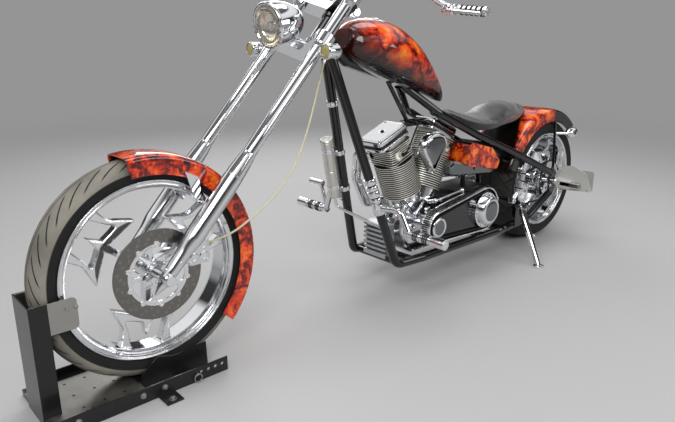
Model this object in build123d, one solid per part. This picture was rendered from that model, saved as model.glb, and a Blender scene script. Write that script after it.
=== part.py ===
from build123d import *
from math import cos, pi, radians, sin, tan
import os

# Chopper motorcycle standing in its wheel chock.
# Model frame: X forward from the rear axle, Y to the rider's left, Z up from the floor, millimetres.
# Every piece is moved to the middle of the footprint when it is written out.

# Clearances
RUN = 0.05
SEAT_GAP = 0.3
BEAD_GAP = 0.02
BELT_GAP = 0.6
CRADLE_GAP = 0.7
MOVING_GAP = 5.0

# Chassis geometry
WHEELBASE = 2180.0
RAKE = 42.5
STEER_OFFSET = 65.0
FORK_HALF = 129.0

# Front wheel
FRONT_TYRE_R = 348.0
CHOCK_LIFT = 18.0
FRONT_AXLE_Z = FRONT_TYRE_R + CHOCK_LIFT
FRONT_TYRE_W = 114.0
FRONT_RIM_R = 283.0
FRONT_RIM_W = 104.0
FRONT_AXLE_R = 10.0
FRONT_HUB_R = 34.0
FRONT_HUB_HALF = 74.0
FRONT_SPOKE_T = 34.0
ROTOR_R = 142.0
ROTOR_IN_R = 97.0
ROTOR_Y = 80.0
ROTOR_T = 5.0
ROTOR_ARMS = 5
ROTOR_ARM_W = 18.0

# Rear wheel
REAR_TYRE_R = 328.0
REAR_TYRE_W = 240.0
REAR_RIM_R = 245.0
REAR_RIM_W = 232.0
REAR_AXLE_R = 12.5
REAR_HUB_R = 42.0
REAR_HUB_HALF = 118.0
REAR_SPOKE_T = 60.0
REAR_ROTOR_T = 6.0
REAR_ROTOR_R = 140.0
PULLEY_R = 98.0
PULLEY_WALL = 22.0
PULLEY_IN_Y = 125.0
PULLEY_OUT_Y = 140.0
PULLEY_WEB_T = 16.0

# Rims and tyres
SPOKES = 3
SPOKE_TURN = 37.0
LIP_W = 5.0
BEAD_DROP = 12.0
WELL_DROP = 21.0
RIM_WALL = 27.0
TREAD_T = 14.0

# Fenders
FENDER_WALL = 4.0
REAR_FENDER_R = REAR_TYRE_R + 44
REAR_FENDER_HALF = 129.0
FRONT_FENDER_R = FRONT_TYRE_R + 16
FRONT_FENDER_HALF = 69.0

# Frame tubes
TUBE_R = 19.0
STAY_R = 17.5
NECK_R = 31.0
CUP_R = 37.0
CUP_H = 16.0
STEM_R = 12.5
BACKBONE_R = 23.0
CROSS_R = 15.0
RAIL_Z = 146.0
SPLIT_Z = 236.0
PLATE_Y = 165.0
PLATE_T = 12.0
AXLE_NUT_R = 19.0
AXLE_NUT_T = 16.0
PEG_TUBE_X = 421.0
PEG_TUBE_Z = 300.0
PEG_TUBE_R = 9.0
PEG_LEFT_Y = 192.0
PEG_RIGHT_Y = 160.0

# Fork
FORK_TUBE_R = 22.0
SLIDER_R = 31.0
SLIDER_S = 456.0
LOWER_TREE_S = 915.0
UPPER_TREE_S = 1100.0
LOWER_TREE_T = 42.0
UPPER_TREE_T = 34.0
TREE_WALL = 12.0
BAR_R = 13.0
GRIP_R = 18.0
GRIP_END_Y = 402.0
CALIPER_X = WHEELBASE - 164

# Engine
CRANK_X = 940.0
CRANK_Z = 265.0
CYLINDER_ANGLE = 22.5
CYLINDER_SPLIT = 1.0
BARREL_S = 160.0
HEAD_S = 325.0
ROCKER_S = 405.0
ROCKER_TOP_S = 452.0
FIN_R = 82.0
CORE_R = 62.0
FINS = 16
FIN_T = 4.0
PUSHROD_R = 8.0
PIPE_R = 22.0
PIPE_WALL = 3.0

# Primary drive and belt
PRIMARY_IN_Y = 142.0
PRIMARY_OUT_Y = 190.0
CLUTCH_X = 630.0
CLUTCH_Z = 290.0
PRIMARY_RIM = 8.0
BELT_W = 12.0
BELT_T = 4.0
GEARBOX_PULLEY_R = 44.0
GEARBOX_HALF = 96.0
GEARBOX_TOP = 372.0
CLUTCH_COVER_R = 82.0
CRANK_COVER_R = 46.0
CLUTCH_MIDDLE = (CLUTCH_X + 2, CLUTCH_Z + 4)
CRANK_MIDDLE = (CRANK_X + 20, CRANK_Z + 11)

# Side stand
STAND_PIVOT = (325.0, 188.0, 250.0)
STAND_FOOT = (392.0, 346.0, 0.0)
STAND_AXIS = (0.03, 0.8415, 0.5396)
STAND_R = 11.0
STAND_BOSS_R = 17.0
STAND_BOSS_HALF = 12.5
STAND_PIN_R = 8.0

# Wheel chock
CHOCK_HALF = 145.0
RAIL_H = 48.0
CHOCK_WALL = 4.0
CHOCK_REAR_X = WHEELBASE - 182
POST_FRONT_X = WHEELBASE + FRONT_TYRE_R + 21
POST_HALF = 70.0
POST_DEPTH = 50.0
POST_TOP = 360.0
HEAD_LOW = 266.0
HEAD_CORNER = 14.0
HOLE_PITCH = 25.4
HOLE_R = 5.5
HOLES = 4
PAN_Z = 20.0
PAN_HALF = 110.0

SIN_RAKE = sin(radians(RAKE))
COS_RAKE = cos(radians(RAKE))
FRONT_AXLE = (WHEELBASE, 0.0, FRONT_AXLE_Z)
REAR_AXLE = (0.0, 0.0, REAR_TYRE_R)
REACH = (POST_FRONT_X - REAR_TYRE_R) / 2
SIDES = (1, -1)
UPRIGHT = (Align.CENTER, Align.CENTER, Align.MIN)
PARTS = {}


def keep(name, *solids):
    """Store the solids of one named piece."""
    PARTS[name] = list(solids)


def span(a, b):
    """The two numbers in rising order."""
    return (a, b) if a < b else (b, a)


def fitted(solid, *names):
    """Cut the room of stored pieces out of a solid and keep its largest piece."""
    for name in names:
        for other in PARTS[name]:
            solid -= other
    return max(solid.solids(), key=lambda piece: piece.volume)


def round_bar(p, q, r, hole=0.0):
    """Straight round bar from p to q, bored right through when hole is given."""
    p, q = Vector(*p), Vector(*q)
    plane = Plane(origin=p, z_dir=(q - p).normalized())
    section = Circle(r) - Circle(hole) if hole else Circle(r)
    return extrude(plane * section, amount=(q - p).length)


def cross_bar(x, z, y0, y1, r, hole=0.0):
    """Round bar along Y."""
    low, high = span(y0, y1)
    return round_bar((x, low, z), (x, high, z), r, hole)


def turned(rows, centre):
    """Solid of revolution about the Y line through centre, rows of (y, radius)."""
    x, _, z = centre
    plane = Plane(origin=(x, 0, z), x_dir=(0, 1, 0), z_dir=(1, 0, 0))
    outline = make_face(Polyline([*rows, rows[0]]))
    return revolve(plane * outline, Axis((x, 0, z), (0, 1, 0)))


def turned_along(base, way, rows):
    """Solid turned about the line through base along way, rows of (distance, radius)."""
    axis = Vector(*way).normalized()
    across = Vector(0, 0, 1) if abs(axis.Y) > 0.9 else Vector(0, 1, 0)
    plane = Plane(origin=base, x_dir=axis, z_dir=axis.cross(across))
    face = plane * make_face(Polyline([*rows, rows[0]]))
    return revolve(face, Axis(base, axis))


def side_plate(outline, y0, y1):
    """Plate lying in the XZ plane between two Y values, outline of (x, z) corners."""
    low, high = span(y0, y1)
    plane = Plane(origin=(0, low, 0), x_dir=(1, 0, 0), z_dir=(0, -1, 0))
    face = plane * make_face(Polyline([*outline, outline[0]]))
    return extrude(face, amount=low - high)


def hull_plate(circles, y0, y1):
    """Plate round a row of circles (x, z, radius) in the XZ plane, with straight sides."""
    low, high = span(y0, y1)
    plane = Plane(origin=(0, low, 0), x_dir=(1, 0, 0), z_dir=(0, -1, 0))
    rounds = Sketch() + [Pos(x, z) * Circle(r) for x, z, r in circles]
    return extrude(plane * make_hull(rounds.edges()), amount=low - high)


def bent_tube(points, r, bend, hole=0.0):
    """Round tube along straight runs with one bend radius at every corner."""
    points = [Vector(*p) for p in points]
    path = FilletPolyline(*points, radius=bend) if len(points) > 2 else Line(*points)
    section = Circle(r) - Circle(hole) if hole else Circle(r)
    start = Plane(origin=points[0], z_dir=points[1] - points[0])
    return sweep(start * section, path=path)


def block(x0, x1, y0, y1, z0, z1, corner=0.0):
    """Box between two corners, its edges along Y rounded when a corner radius is given."""
    y0, y1 = span(y0, y1)
    solid = Pos((x0 + x1) / 2, (y0 + y1) / 2, (z0 + z1) / 2) * Box(x1 - x0, y1 - y0, z1 - z0)
    if corner:
        solid = fillet(solid.edges().filter_by(Axis.Y), corner)
    return solid


# Fork frame: origin on the front axle, local z up the legs, local x forward, local y left
FORK = Plane(origin=FRONT_AXLE, x_dir=(COS_RAKE, 0, SIN_RAKE), z_dir=(-SIN_RAKE, 0, COS_RAKE))


def fork_point(s, y=0.0, ahead=0.0):
    """Point s up the legs and a distance ahead of their plane."""
    return (WHEELBASE - s * SIN_RAKE + ahead * COS_RAKE, y, FRONT_AXLE_Z + s * COS_RAKE + ahead * SIN_RAKE)


# Middle of the steering head, which the front of the frame, the tank and the bars are placed from
HEAD_X, _, HEAD_Z = fork_point(1000, 0, -STEER_OFFSET)


# Brake hose, columns from the front axle: x, y, z
HOSE_ROWS = [(-656, 88, 602), (-628, 94, 534), (-594, 99, 440), (-554, 102, 344), (-500, 104, 248), (-424, 102, 172),
             (-332, 96, 112), (-236, 86, 64), (-164, 86, 64)]


def hose_point(i):
    """Point of the brake hose's route."""
    x, y, z = HOSE_ROWS[i]
    return (WHEELBASE + x, y, FRONT_AXLE_Z + z)


def leg_turned(rows, y, ahead=0.0):
    """Solid turned about a line parallel to the legs, rows of (s, radius)."""
    return turned_along(fork_point(0, y, ahead), (-SIN_RAKE, 0, COS_RAKE), rows)


# Wheels


def rim_rows(radius, width):
    """Outer face of the rim, rows of (y, radius): lip, bead seat and well."""
    half = width / 2
    seat = half - LIP_W - 4
    return [(half, radius), (half - LIP_W, radius), (seat, radius - BEAD_DROP), (half - 26, radius - WELL_DROP)]


def mirrored_rows(rows):
    """Rows of one half joined to their mirror image."""
    return rows + [(-y, r) for y, r in reversed(rows)]


def rim(radius, width, centre):
    """Rim with a lip at each side and a stepped barrel."""
    half = width / 2
    inner = [(half - 22, radius - RIM_WALL), (half, radius - 14)]
    rows = mirrored_rows(rim_rows(radius, width)) + [(-y, r) for y, r in reversed(inner)] + inner
    return turned(rows, centre)


def tyre(radius, width, rim_radius, rim_width, centre):
    """Hollow tyre with a round crown and bulged walls, seated on the rim's bead seats."""
    wall = radius - rim_radius
    bead = rim_width / 2 - LIP_W - 4
    # columns: half width as a share of the width, height above the lip as a share of the wall
    shares = [(0.50, 0.36), (0.485, 0.62), (0.40, 0.84), (0.22, 0.96)]
    outer = [(bead, rim_radius - BEAD_DROP), (bead + 3, rim_radius + 3)]
    outer += [(width * across, rim_radius + wall * up) for across, up in shares]
    inner = [(width * 0.34, rim_radius + wall * 0.68), (width * 0.5 - 12, rim_radius + wall * 0.34),
             (bead - 14, rim_radius - BEAD_DROP - 3)]
    crown = [(0, radius)]
    hollow = [(-y, r) for y, r in reversed(inner)] + [(0, radius - TREAD_T)] + inner
    ring = turned(outer + crown + [(-y, r) for y, r in reversed(outer)] + hollow, centre)
    seat_rows = mirrored_rows([(y, r + BEAD_GAP) for y, r in rim_rows(rim_radius, rim_width)])
    inside = rim_radius - 2 * RIM_WALL
    room = seat_rows + [(-rim_width / 2, inside), (rim_width / 2, inside)]
    return ring - turned(room, centre)


def thorn_spoke(hub_r, rim_r):
    """One barbed spoke with two hooked thorns, drawn in the wheel's plane with local x from hub to rim."""
    # rows of (way out as a share of the rim radius, offset to one side as a share of the rim radius)
    side = [(0.41, 0.040), (0.60, 0.048), (0.470, 0.435), (0.63, 0.355), (0.755, 0.300), (0.965, 0.325),
            (1.01, 0.185), (0.865, 0.215), (0.745, 0.240), (0.64, 0.262), (0.685, 0.055), (0.86, 0.0)]
    half = [(hub_r, 0.050 * rim_r)] + [(a * rim_r, b * rim_r) for a, b in side]
    outline = half + [(a, -b) for a, b in reversed(half[:-1])]
    return make_face(Polyline([*outline, outline[0]]))


def spoked_centre(hub_r, rim_r, thickness, centre):
    """All spokes of a wheel, cut back to the inside of the rim."""
    x, _, z = centre
    spoke = thorn_spoke(hub_r, rim_r)
    sketch = Sketch() + [Rot(0, 0, SPOKE_TURN + i * 360 / SPOKES) * spoke for i in range(SPOKES)]
    sketch = sketch & Circle(rim_r + 2)
    plane = Plane(origin=(x, thickness / 2, z), x_dir=(1, 0, 0), z_dir=(0, -1, 0))
    return extrude(plane * sketch, amount=thickness)


def wheel(rim_r, rim_w, hub_r, hub_half, axle_r, spoke_t, centre):
    """Rim, thorn spokes and hub in one casting, bored for the axle."""
    x, _, z = centre
    body = rim(rim_r, rim_w, centre)
    body += spoked_centre(hub_r - 4, rim_r - RIM_WALL, spoke_t, centre)
    body += cross_bar(x, z, -hub_half, hub_half, hub_r)
    return body - cross_bar(x, z, -hub_half, hub_half, axle_r + RUN)


def front_wheel():
    keep("front_wheel", wheel(FRONT_RIM_R, FRONT_RIM_W, FRONT_HUB_R, FRONT_HUB_HALF, FRONT_AXLE_R,
                              FRONT_SPOKE_T, FRONT_AXLE))
    keep("front_tyre", tyre(FRONT_TYRE_R, FRONT_TYRE_W, FRONT_RIM_R, FRONT_RIM_W, FRONT_AXLE))
    outer = ROTOR_Y + ROTOR_T / 2
    disc = cross_bar(WHEELBASE, FRONT_AXLE_Z, ROTOR_Y - ROTOR_T / 2, outer, ROTOR_R, ROTOR_IN_R)
    carrier = cross_bar(WHEELBASE, FRONT_AXLE_Z, FRONT_HUB_HALF, outer, FRONT_HUB_R + 6, FRONT_AXLE_R + 2)
    where = Plane(origin=(WHEELBASE, ROTOR_Y, FRONT_AXLE_Z), x_dir=(1, 0, 0), z_dir=(0, -1, 0))
    arm = Pos((ROTOR_IN_R + FRONT_HUB_R) / 2, 0, 0) * Box(ROTOR_IN_R - FRONT_HUB_R + 12, ROTOR_ARM_W, ROTOR_T)
    for i in range(ROTOR_ARMS):
        carrier += where * (Rot(0, 0, i * 360 / ROTOR_ARMS) * arm)
    keep("front_rotor", disc + carrier)


def rear_wheel():
    keep("rear_wheel", wheel(REAR_RIM_R, REAR_RIM_W, REAR_HUB_R, REAR_HUB_HALF, REAR_AXLE_R,
                             REAR_SPOKE_T, REAR_AXLE))
    keep("rear_tyre", tyre(REAR_TYRE_R, REAR_TYRE_W, REAR_RIM_R, REAR_RIM_W, REAR_AXLE))
    web_end = REAR_HUB_HALF + PULLEY_WEB_T
    pulley = cross_bar(0, REAR_TYRE_R, PULLEY_IN_Y, PULLEY_OUT_Y, PULLEY_R, PULLEY_R - PULLEY_WALL)
    pulley += cross_bar(0, REAR_TYRE_R, REAR_HUB_HALF, web_end, PULLEY_R - PULLEY_WALL + 2, REAR_AXLE_R + 2)
    keep("rear_pulley", pulley)
    rotor_end = -REAR_HUB_HALF - REAR_ROTOR_T
    keep("rear_rotor", cross_bar(0, REAR_TYRE_R, rotor_end, -REAR_HUB_HALF, REAR_ROTOR_R, REAR_AXLE_R + 2))


# Frame


def downtube_point(z, side):
    """Centre of a downtube at a height, on the line from the steering head to the lower corner."""
    top_x, top_y, top_z = HEAD_X - 18, 8, HEAD_Z - 30
    low_x, low_y = HEAD_X - 292, 127
    share = (top_z - z) / (top_z - RAIL_Z)
    return (top_x + (low_x - top_x) * share, side * (top_y + (low_y - top_y) * share), z)


def backbone_point(share, drop=0.0):
    """Point on the backbone's centre line from its knee to its rear end."""
    knee, end = Vector(HEAD_X - 116, 0, HEAD_Z - 91), Vector(CRANK_X + 20, 0, HEAD_Z - 197)
    return knee + (end - knee) * share - Vector(0, 0, drop)


def backbone():
    """Steering head with bearing cups, and the tube that runs back under the tank."""
    low = LOWER_TREE_S + LOWER_TREE_T / 2 + MOVING_GAP
    high = UPPER_TREE_S - UPPER_TREE_T / 2 - MOVING_GAP
    neck = leg_turned([(low, STEM_R + RUN), (low, CUP_R), (low + CUP_H, CUP_R), (low + CUP_H, NECK_R),
                       (high - CUP_H, NECK_R), (high - CUP_H, CUP_R), (high, CUP_R), (high, STEM_R + RUN)],
                      0, -STEER_OFFSET)
    stem_room = leg_turned([(low - 40, 0), (low - 40, NECK_R), (high + 40, NECK_R), (high + 40, 0)], 0, -STEER_OFFSET)
    tube = round_bar((HEAD_X, 0, HEAD_Z), backbone_point(0), BACKBONE_R) + Pos(*backbone_point(0)) * Sphere(BACKBONE_R)
    tube += round_bar(backbone_point(0), backbone_point(1), BACKBONE_R)
    keep("backbone", neck + (tube - stem_room))


def frame_tubes():
    """Pairs of downtubes, lower rails, upper stays and axle plates, and the tubes across."""
    downtubes, rails, stays, plates = [], [], [], []
    for side in SIDES:
        top = downtube_point(HEAD_Z - 30, side)
        split = downtube_point(SPLIT_Z, side)
        low = downtube_point(RAIL_Z, side)
        downtubes.append(fitted(round_bar(split, top, TUBE_R) & half_space(side), "backbone"))
        rail = bent_tube([split, low, (low[0] - 154, side * 142, RAIL_Z), (420, side * 148, RAIL_Z),
                          (215, side * 164, RAIL_Z + 26), (22, side * PLATE_Y, REAR_TYRE_R - 62)], TUBE_R, 40)
        rails.append(rail)
        root = backbone_point(0.816, 19)
        stay = bent_tube([(root.X, side * 12, root.Z), (root.X - 150, side * 92, REAR_TYRE_R + 414),
                          (640, side * 110, REAR_TYRE_R + 306), (300, side * 142, REAR_TYRE_R + 169),
                          (20, side * PLATE_Y, REAR_TYRE_R + 46)], STAY_R, 60)
        stays.append(fitted(stay & half_space(side), "backbone"))
    keep("downtubes", *downtubes)
    keep("upper_stays", *stays)
    rails[0] += stand_lug()
    keep("lower_rails", *rails)
    outline = [(-30, -28), (-30, 38), (8, 74), (34, 60), (34, -60), (20, -82), (-2, -72)]
    for side in SIDES:
        corners = [(x, REAR_TYRE_R + up) for x, up in outline]
        plate = side_plate(corners, side * (PLATE_Y - PLATE_T / 2), side * (PLATE_Y + PLATE_T / 2))
        plate -= cross_bar(0, REAR_TYRE_R, -300, 300, REAR_AXLE_R)
        plates.append(fitted(plate, "lower_rails", "upper_stays"))
    keep("axle_plates", *plates)


def along_pivot(distance):
    """Point on the side stand's pivot axis."""
    return Vector(*STAND_PIVOT) + Vector(*STAND_AXIS) * distance


def stand_lug():
    """Lug on the left rail, cut square to the side stand's axis, with its pin."""
    lug = block(299, 351, 157, 176, RAIL_Z, 274, 8)
    lug -= round_bar(along_pivot(-STAND_BOSS_HALF - RUN), along_pivot(100), 200)
    return lug + round_bar(along_pivot(-2 * STAND_BOSS_HALF), along_pivot(STAND_BOSS_HALF + 5), STAND_PIN_R)


def half_space(side):
    """Everything on one side of the middle plane, less half the gap between the pair."""
    return block(-REAR_TYRE_R, WHEELBASE, side * 0.5, side * 400, 0, 2 * HEAD_Z)


def cross_members():
    """Seat post, engine cross tubes and the passenger pegs' tube."""
    # columns: x, z, half length
    post_x, post_top = 412, REAR_TYRE_R + 224
    rows = [(HEAD_X - 318, RAIL_Z, 160), (CRANK_X + 126, RAIL_Z, 160), (CRANK_X - 128, RAIL_Z, 160),
            (CLUTCH_X - 60, RAIL_Z, 160), (post_x, RAIL_Z, 160), (post_x + 28, post_top, 150)]
    tubes = [fitted(cross_bar(x, z, -half, half, CROSS_R), "lower_rails", "upper_stays") for x, z, half in rows]
    joined = tubes[4] + round_bar((post_x, 0, RAIL_Z), (post_x + 28, 0, post_top), CROSS_R) + tubes[5]
    joined += cross_bar(PEG_TUBE_X, PEG_TUBE_Z, -PEG_RIGHT_Y, PEG_LEFT_Y, PEG_TUBE_R)
    keep("cross_members", *tubes[:4], joined)


def rear_axle():
    outer = PLATE_Y + PLATE_T / 2
    axle = cross_bar(0, REAR_TYRE_R, -outer - AXLE_NUT_T, outer + AXLE_NUT_T, REAR_AXLE_R)
    for side in SIDES:
        axle += cross_bar(0, REAR_TYRE_R, side * outer, side * (outer + AXLE_NUT_T), AXLE_NUT_R)
        hub_end = (REAR_HUB_HALF + PULLEY_WEB_T if side > 0 else REAR_HUB_HALF + REAR_ROTOR_T) + SEAT_GAP
        axle += cross_bar(0, REAR_TYRE_R, side * hub_end, side * (PLATE_Y - PLATE_T / 2), AXLE_NUT_R)
    keep("rear_axle", axle)


# Engine


def cylinder_frame(lean):
    """Plane at the crank with local z along a cylinder, lean in degrees forward."""
    a = radians(lean)
    return Plane(origin=(CRANK_X, 0, CRANK_Z), x_dir=(cos(a), 0, -sin(a)), z_dir=(sin(a), 0, cos(a)))


def crankcase():
    """Case with a deck for each cylinder, cam chest and tappet blocks on the right."""
    outline = [(-128, -92), (-60, -118), (70, -118), (128, -84), (134, 10), (118, 84), (66, 118), (-60, 118),
               (-110, 96), (-134, 20)]
    case = side_plate([(CRANK_X + x, CRANK_Z + z) for x, z in outline], -78, 84)
    chest = [(-80, -40), (-34, -66), (44, -66), (84, -32), (86, 36), (36, 80), (-36, 80), (-84, 36)]
    case += side_plate([(CRANK_X + x, CRANK_Z + z) for x, z in chest], -112, -78)
    for lean in (CYLINDER_ANGLE, -CYLINDER_ANGLE):
        plane = cylinder_frame(lean)
        case += plane * Cylinder(CORE_R + 14, BARREL_S, align=UPRIGHT)
        for shift in (-20, 20):
            case += plane * (Pos(shift, -82, 0) * Cylinder(13, 112, align=UPRIGHT))
    keep("crankcase", fitted(case, "cross_members"))


def cylinders():
    """Barrels and heads with cooling fins, each with its rocker box on top."""
    pitch = (ROCKER_S - BARREL_S) / FINS
    barrel = Pos(0, 0, BARREL_S) * Cylinder(CORE_R, HEAD_S - BARREL_S, align=UPRIGHT)
    head = Pos(0, 0, HEAD_S) * Box(116, 112, ROCKER_S - HEAD_S, align=UPRIGHT)
    core = barrel + head
    for i in range(FINS):
        s = BARREL_S + pitch * (i + 0.5) - FIN_T / 2
        fin = Cylinder(FIN_R, FIN_T, align=UPRIGHT) if s < HEAD_S - pitch / 2 else Box(146, 140, FIN_T, align=UPRIGHT)
        core += Pos(0, 0, s) * fin
    core -= Pos(0, -FIN_R - 71, BARREL_S - 10) * Box(4 * FIN_R, 2 * FIN_R, ROCKER_S, align=UPRIGHT)
    # rows: inset from the full outline, bottom and top as distances up the cylinder
    box = Part()
    for inset, low, high in ((0, ROCKER_S, 417), (4, 417, 429), (0, 429, ROCKER_TOP_S)):
        tier = Pos(8, -10, low) * Box(178 - 2 * inset, 128 - 2 * inset, high - low, align=UPRIGHT)
        box += fillet(tier.edges().filter_by(Axis.Z), 16 - inset)
    pair, boxes, rods = [], [], []
    for lean, way in ((CYLINDER_ANGLE, 1), (-CYLINDER_ANGLE, -1)):
        plane = cylinder_frame(lean)
        far = CRANK_X + way * 400
        room = block(*span(CRANK_X + way * CYLINDER_SPLIT, far), -200, 200, 0, 900)
        pair.append(fitted((plane * core) & room, "crankcase"))
        boxes.append(plane * box)
        for shift in (-20, 20):
            rod = plane * (Pos(shift, -80, 112) * Cylinder(PUSHROD_R, ROCKER_S - 112, align=UPRIGHT))
            rods.append(fitted(rod, "crankcase"))
    keep("cylinders", *pair)
    keep("rocker_boxes", *boxes)
    keep("pushrod_tubes", *rods)


def exhausts():
    """Both pipes leave their heads to the right, drop and run back one above the other."""
    # columns: lean, way along the engine, then points of the run
    runs = [(CYLINDER_ANGLE, 1, [(1112, -172, 455), (1030, -190, 325), (700, -206, 300), (-40, -226, 300)]),
            (-CYLINDER_ANGLE, -1, [(716, -174, 498), (590, -198, 392), (300, -216, 354), (-30, -226, 354)])]
    pipes = []
    for lean, way, points in runs:
        plane = cylinder_frame(lean)
        port = plane.from_local_coords(Vector(way * 56, -50, 365))
        out = plane.from_local_coords(Vector(way * 60, -142, 350))
        pipe = bent_tube([port, out, *points], PIPE_R, 26, PIPE_R - PIPE_WALL)
        pipes.append(fitted(pipe, "cylinders", "rocker_boxes"))
    strap = block(-10, 20, -226 - 4, -226 + 4, 300, 354)
    rail_strap = round_bar((210, -190, 300), (210, -164, 176), 8)
    lower = fitted(rail_strap, "lower_rails")
    pipes[0] += fitted(strap, "lower_rails")
    keep("exhausts", fitted(pipes[0] + lower, "rear_axle"), pipes[1])
    second = fitted(PARTS["exhausts"][1], "rear_axle")
    PARTS["exhausts"][0] = max((PARTS["exhausts"][0] - second).solids(), key=lambda piece: piece.volume)


def intake():
    """Manifold between the heads, carburettor and round air cleaner on the right."""
    port_z = CRANK_Z + 295
    body = cross_bar(CRANK_X, port_z, -150, 0, 24)
    body += round_bar((CRANK_X - 90, 0, port_z), (CRANK_X + 90, 0, port_z), 20)
    body = fitted(body, "cylinders")
    body += turned([(-196, 0), (-196, 62), (-186, 78), (-152, 78), (-146, 66), (-146, 0)], (CRANK_X, 0, port_z))
    keep("air_cleaner", body)
    shield = [(-98, 325), (-94, 372), (-68, 392), (-26, 398), (12, 388), (34, 358), (32, 318), (-26, 232)]
    cover = side_plate([(CRANK_X + x, CRANK_Z + z) for x, z in shield], 74, 112)
    cover = fillet(cover.edges().group_by(Axis.Y)[-1], 12)
    cover += cross_bar(CRANK_X - 26, CRANK_Z + 305, 0, 86, 8)
    keep("horn_cover", fitted(cover, "cylinders", "rocker_boxes", "air_cleaner"))


def engine_mount():
    """Strut from the backbone to a plate between the rocker boxes."""
    strut = round_bar(backbone_point(0.56), (CRANK_X + 45, 0, CRANK_Z + 451), 9)
    plate = block(CRANK_X - 70, CRANK_X + 72, -14, 14, CRANK_Z + 425, CRANK_Z + 451)
    keep("engine_mount", fitted(strut + plate, "backbone", "rocker_boxes", "cylinders"))


def transmission():
    """Gearbox on its cross tube, with the belt pulley on its output shaft."""
    box = block(CLUTCH_X - 168, CLUTCH_X + 94, -GEARBOX_HALF, GEARBOX_HALF, RAIL_Z + 8, GEARBOX_TOP, 26)
    box += round_bar((CLUTCH_X - 70, 0, GEARBOX_TOP - 20), (CLUTCH_X - 70, 0, GEARBOX_TOP + 120), 12)
    keep("transmission", fitted(box, "cross_members", "crankcase"))
    pulley_end = PRIMARY_IN_Y - SEAT_GAP
    keep("gearbox_pulley", cross_bar(CLUTCH_X, CLUTCH_Z, GEARBOX_HALF, pulley_end, GEARBOX_PULLEY_R))


def primary_drive():
    """Open belt housing with a raised band round it, and a domed cover on each pulley."""
    # columns: x, z, radius of the two ends
    ends = [(CRANK_X + 25, CRANK_Z + 14, 71), (CLUTCH_X + 4, CLUTCH_Z + 8, 103)]
    depth = PRIMARY_OUT_Y - PRIMARY_IN_Y
    floor = PRIMARY_IN_Y + depth * 0.6
    body = hull_plate(ends, PRIMARY_IN_Y, PRIMARY_OUT_Y)
    body -= hull_plate([(x, z, r - PRIMARY_RIM) for x, z, r in ends], floor, PRIMARY_OUT_Y)
    body += cross_bar(CRANK_X, CRANK_Z, 84, PRIMARY_IN_Y, 45)
    keep("primary_housing", body)
    front = turned([(floor, 0), (floor, CRANK_COVER_R), (PRIMARY_OUT_Y - 8, CRANK_COVER_R),
                    (PRIMARY_OUT_Y - 2, CRANK_COVER_R - 6), (PRIMARY_OUT_Y, 0)], (CRANK_MIDDLE[0], 0, CRANK_MIDDLE[1]))
    clutch = turned([(floor, 0), (floor, CLUTCH_COVER_R), (PRIMARY_OUT_Y + 2, CLUTCH_COVER_R),
                     (PRIMARY_OUT_Y + 2, CLUTCH_COVER_R - 12), (PRIMARY_OUT_Y + 26, CLUTCH_COVER_R - 18),
                     (PRIMARY_OUT_Y + 32, CLUTCH_COVER_R - 32), (PRIMARY_OUT_Y + 34, 0)],
                    (CLUTCH_MIDDLE[0], 0, CLUTCH_MIDDLE[1]))
    keep("primary_covers", front, clutch)

    def loop(extra):
        rounds = [(*CRANK_MIDDLE, CRANK_COVER_R + extra), (*CLUTCH_MIDDLE, CLUTCH_COVER_R + extra)]
        return hull_plate(rounds, floor, floor + 14)

    keep("primary_belt", loop(5) - loop(0))


def final_belt():
    """Toothed belt from the gearbox pulley to the rear wheel pulley, one closed loop."""
    middle = (PULLEY_IN_Y + PULLEY_OUT_Y) / 2

    def loop(extra):
        ends = [(0, REAR_TYRE_R, PULLEY_R + BELT_GAP + extra), (CLUTCH_X, CLUTCH_Z, GEARBOX_PULLEY_R + extra)]
        return hull_plate(ends, middle - BELT_W / 2, middle + BELT_W / 2)

    keep("final_belt", loop(BELT_T) - loop(0))


def front_of_engine():
    """Oil cooler tube on the right downtube, and the finned regulator box between the downtubes."""
    ahead = Vector(57, -2, 0)
    bottom, top = Vector(*downtube_point(424, -1)) + ahead, Vector(*downtube_point(672, -1)) + ahead
    tube = round_bar(bottom, top, 26)
    for share in (0.18, 0.82):
        middle = bottom + (top - bottom) * share
        tube += round_bar(middle, downtube_point(middle.Z - 14, -1), 9)
    keep("oil_cooler_tube", fitted(tube, "downtubes"))
    front = HEAD_X - 292
    box = block(front - 52, front, -64, 64, RAIL_Z + 6, RAIL_Z + 150)
    for i in range(6):
        z = RAIL_Z + 26 + i * 20
        box -= block(front - 16, front + 6, -70, 70, z, z + 10)
    keep("regulator_box", fitted(box, "cross_members", "crankcase"))


# Bodywork


def section(x, low, high, half, shoulder=0.5):
    """Rounded cross section at one X: narrow flat bottom and arched top."""
    plane = Plane(origin=(x, 0, 0), x_dir=(0, 1, 0), z_dir=(1, 0, 0))
    mid = low + (high - low) * shoulder
    turn = low + (mid - low) * 0.22
    top = ThreePointArc((half, mid), (0, high), (-half, mid))
    left = ThreePointArc((-half, mid), (-half * 0.72, turn), (-half * 0.36, low))
    base = Line((-half * 0.36, low), (half * 0.36, low))
    right = ThreePointArc((half * 0.36, low), (half * 0.72, turn), (half, mid))
    return plane * make_face([top, left, base, right])


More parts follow.
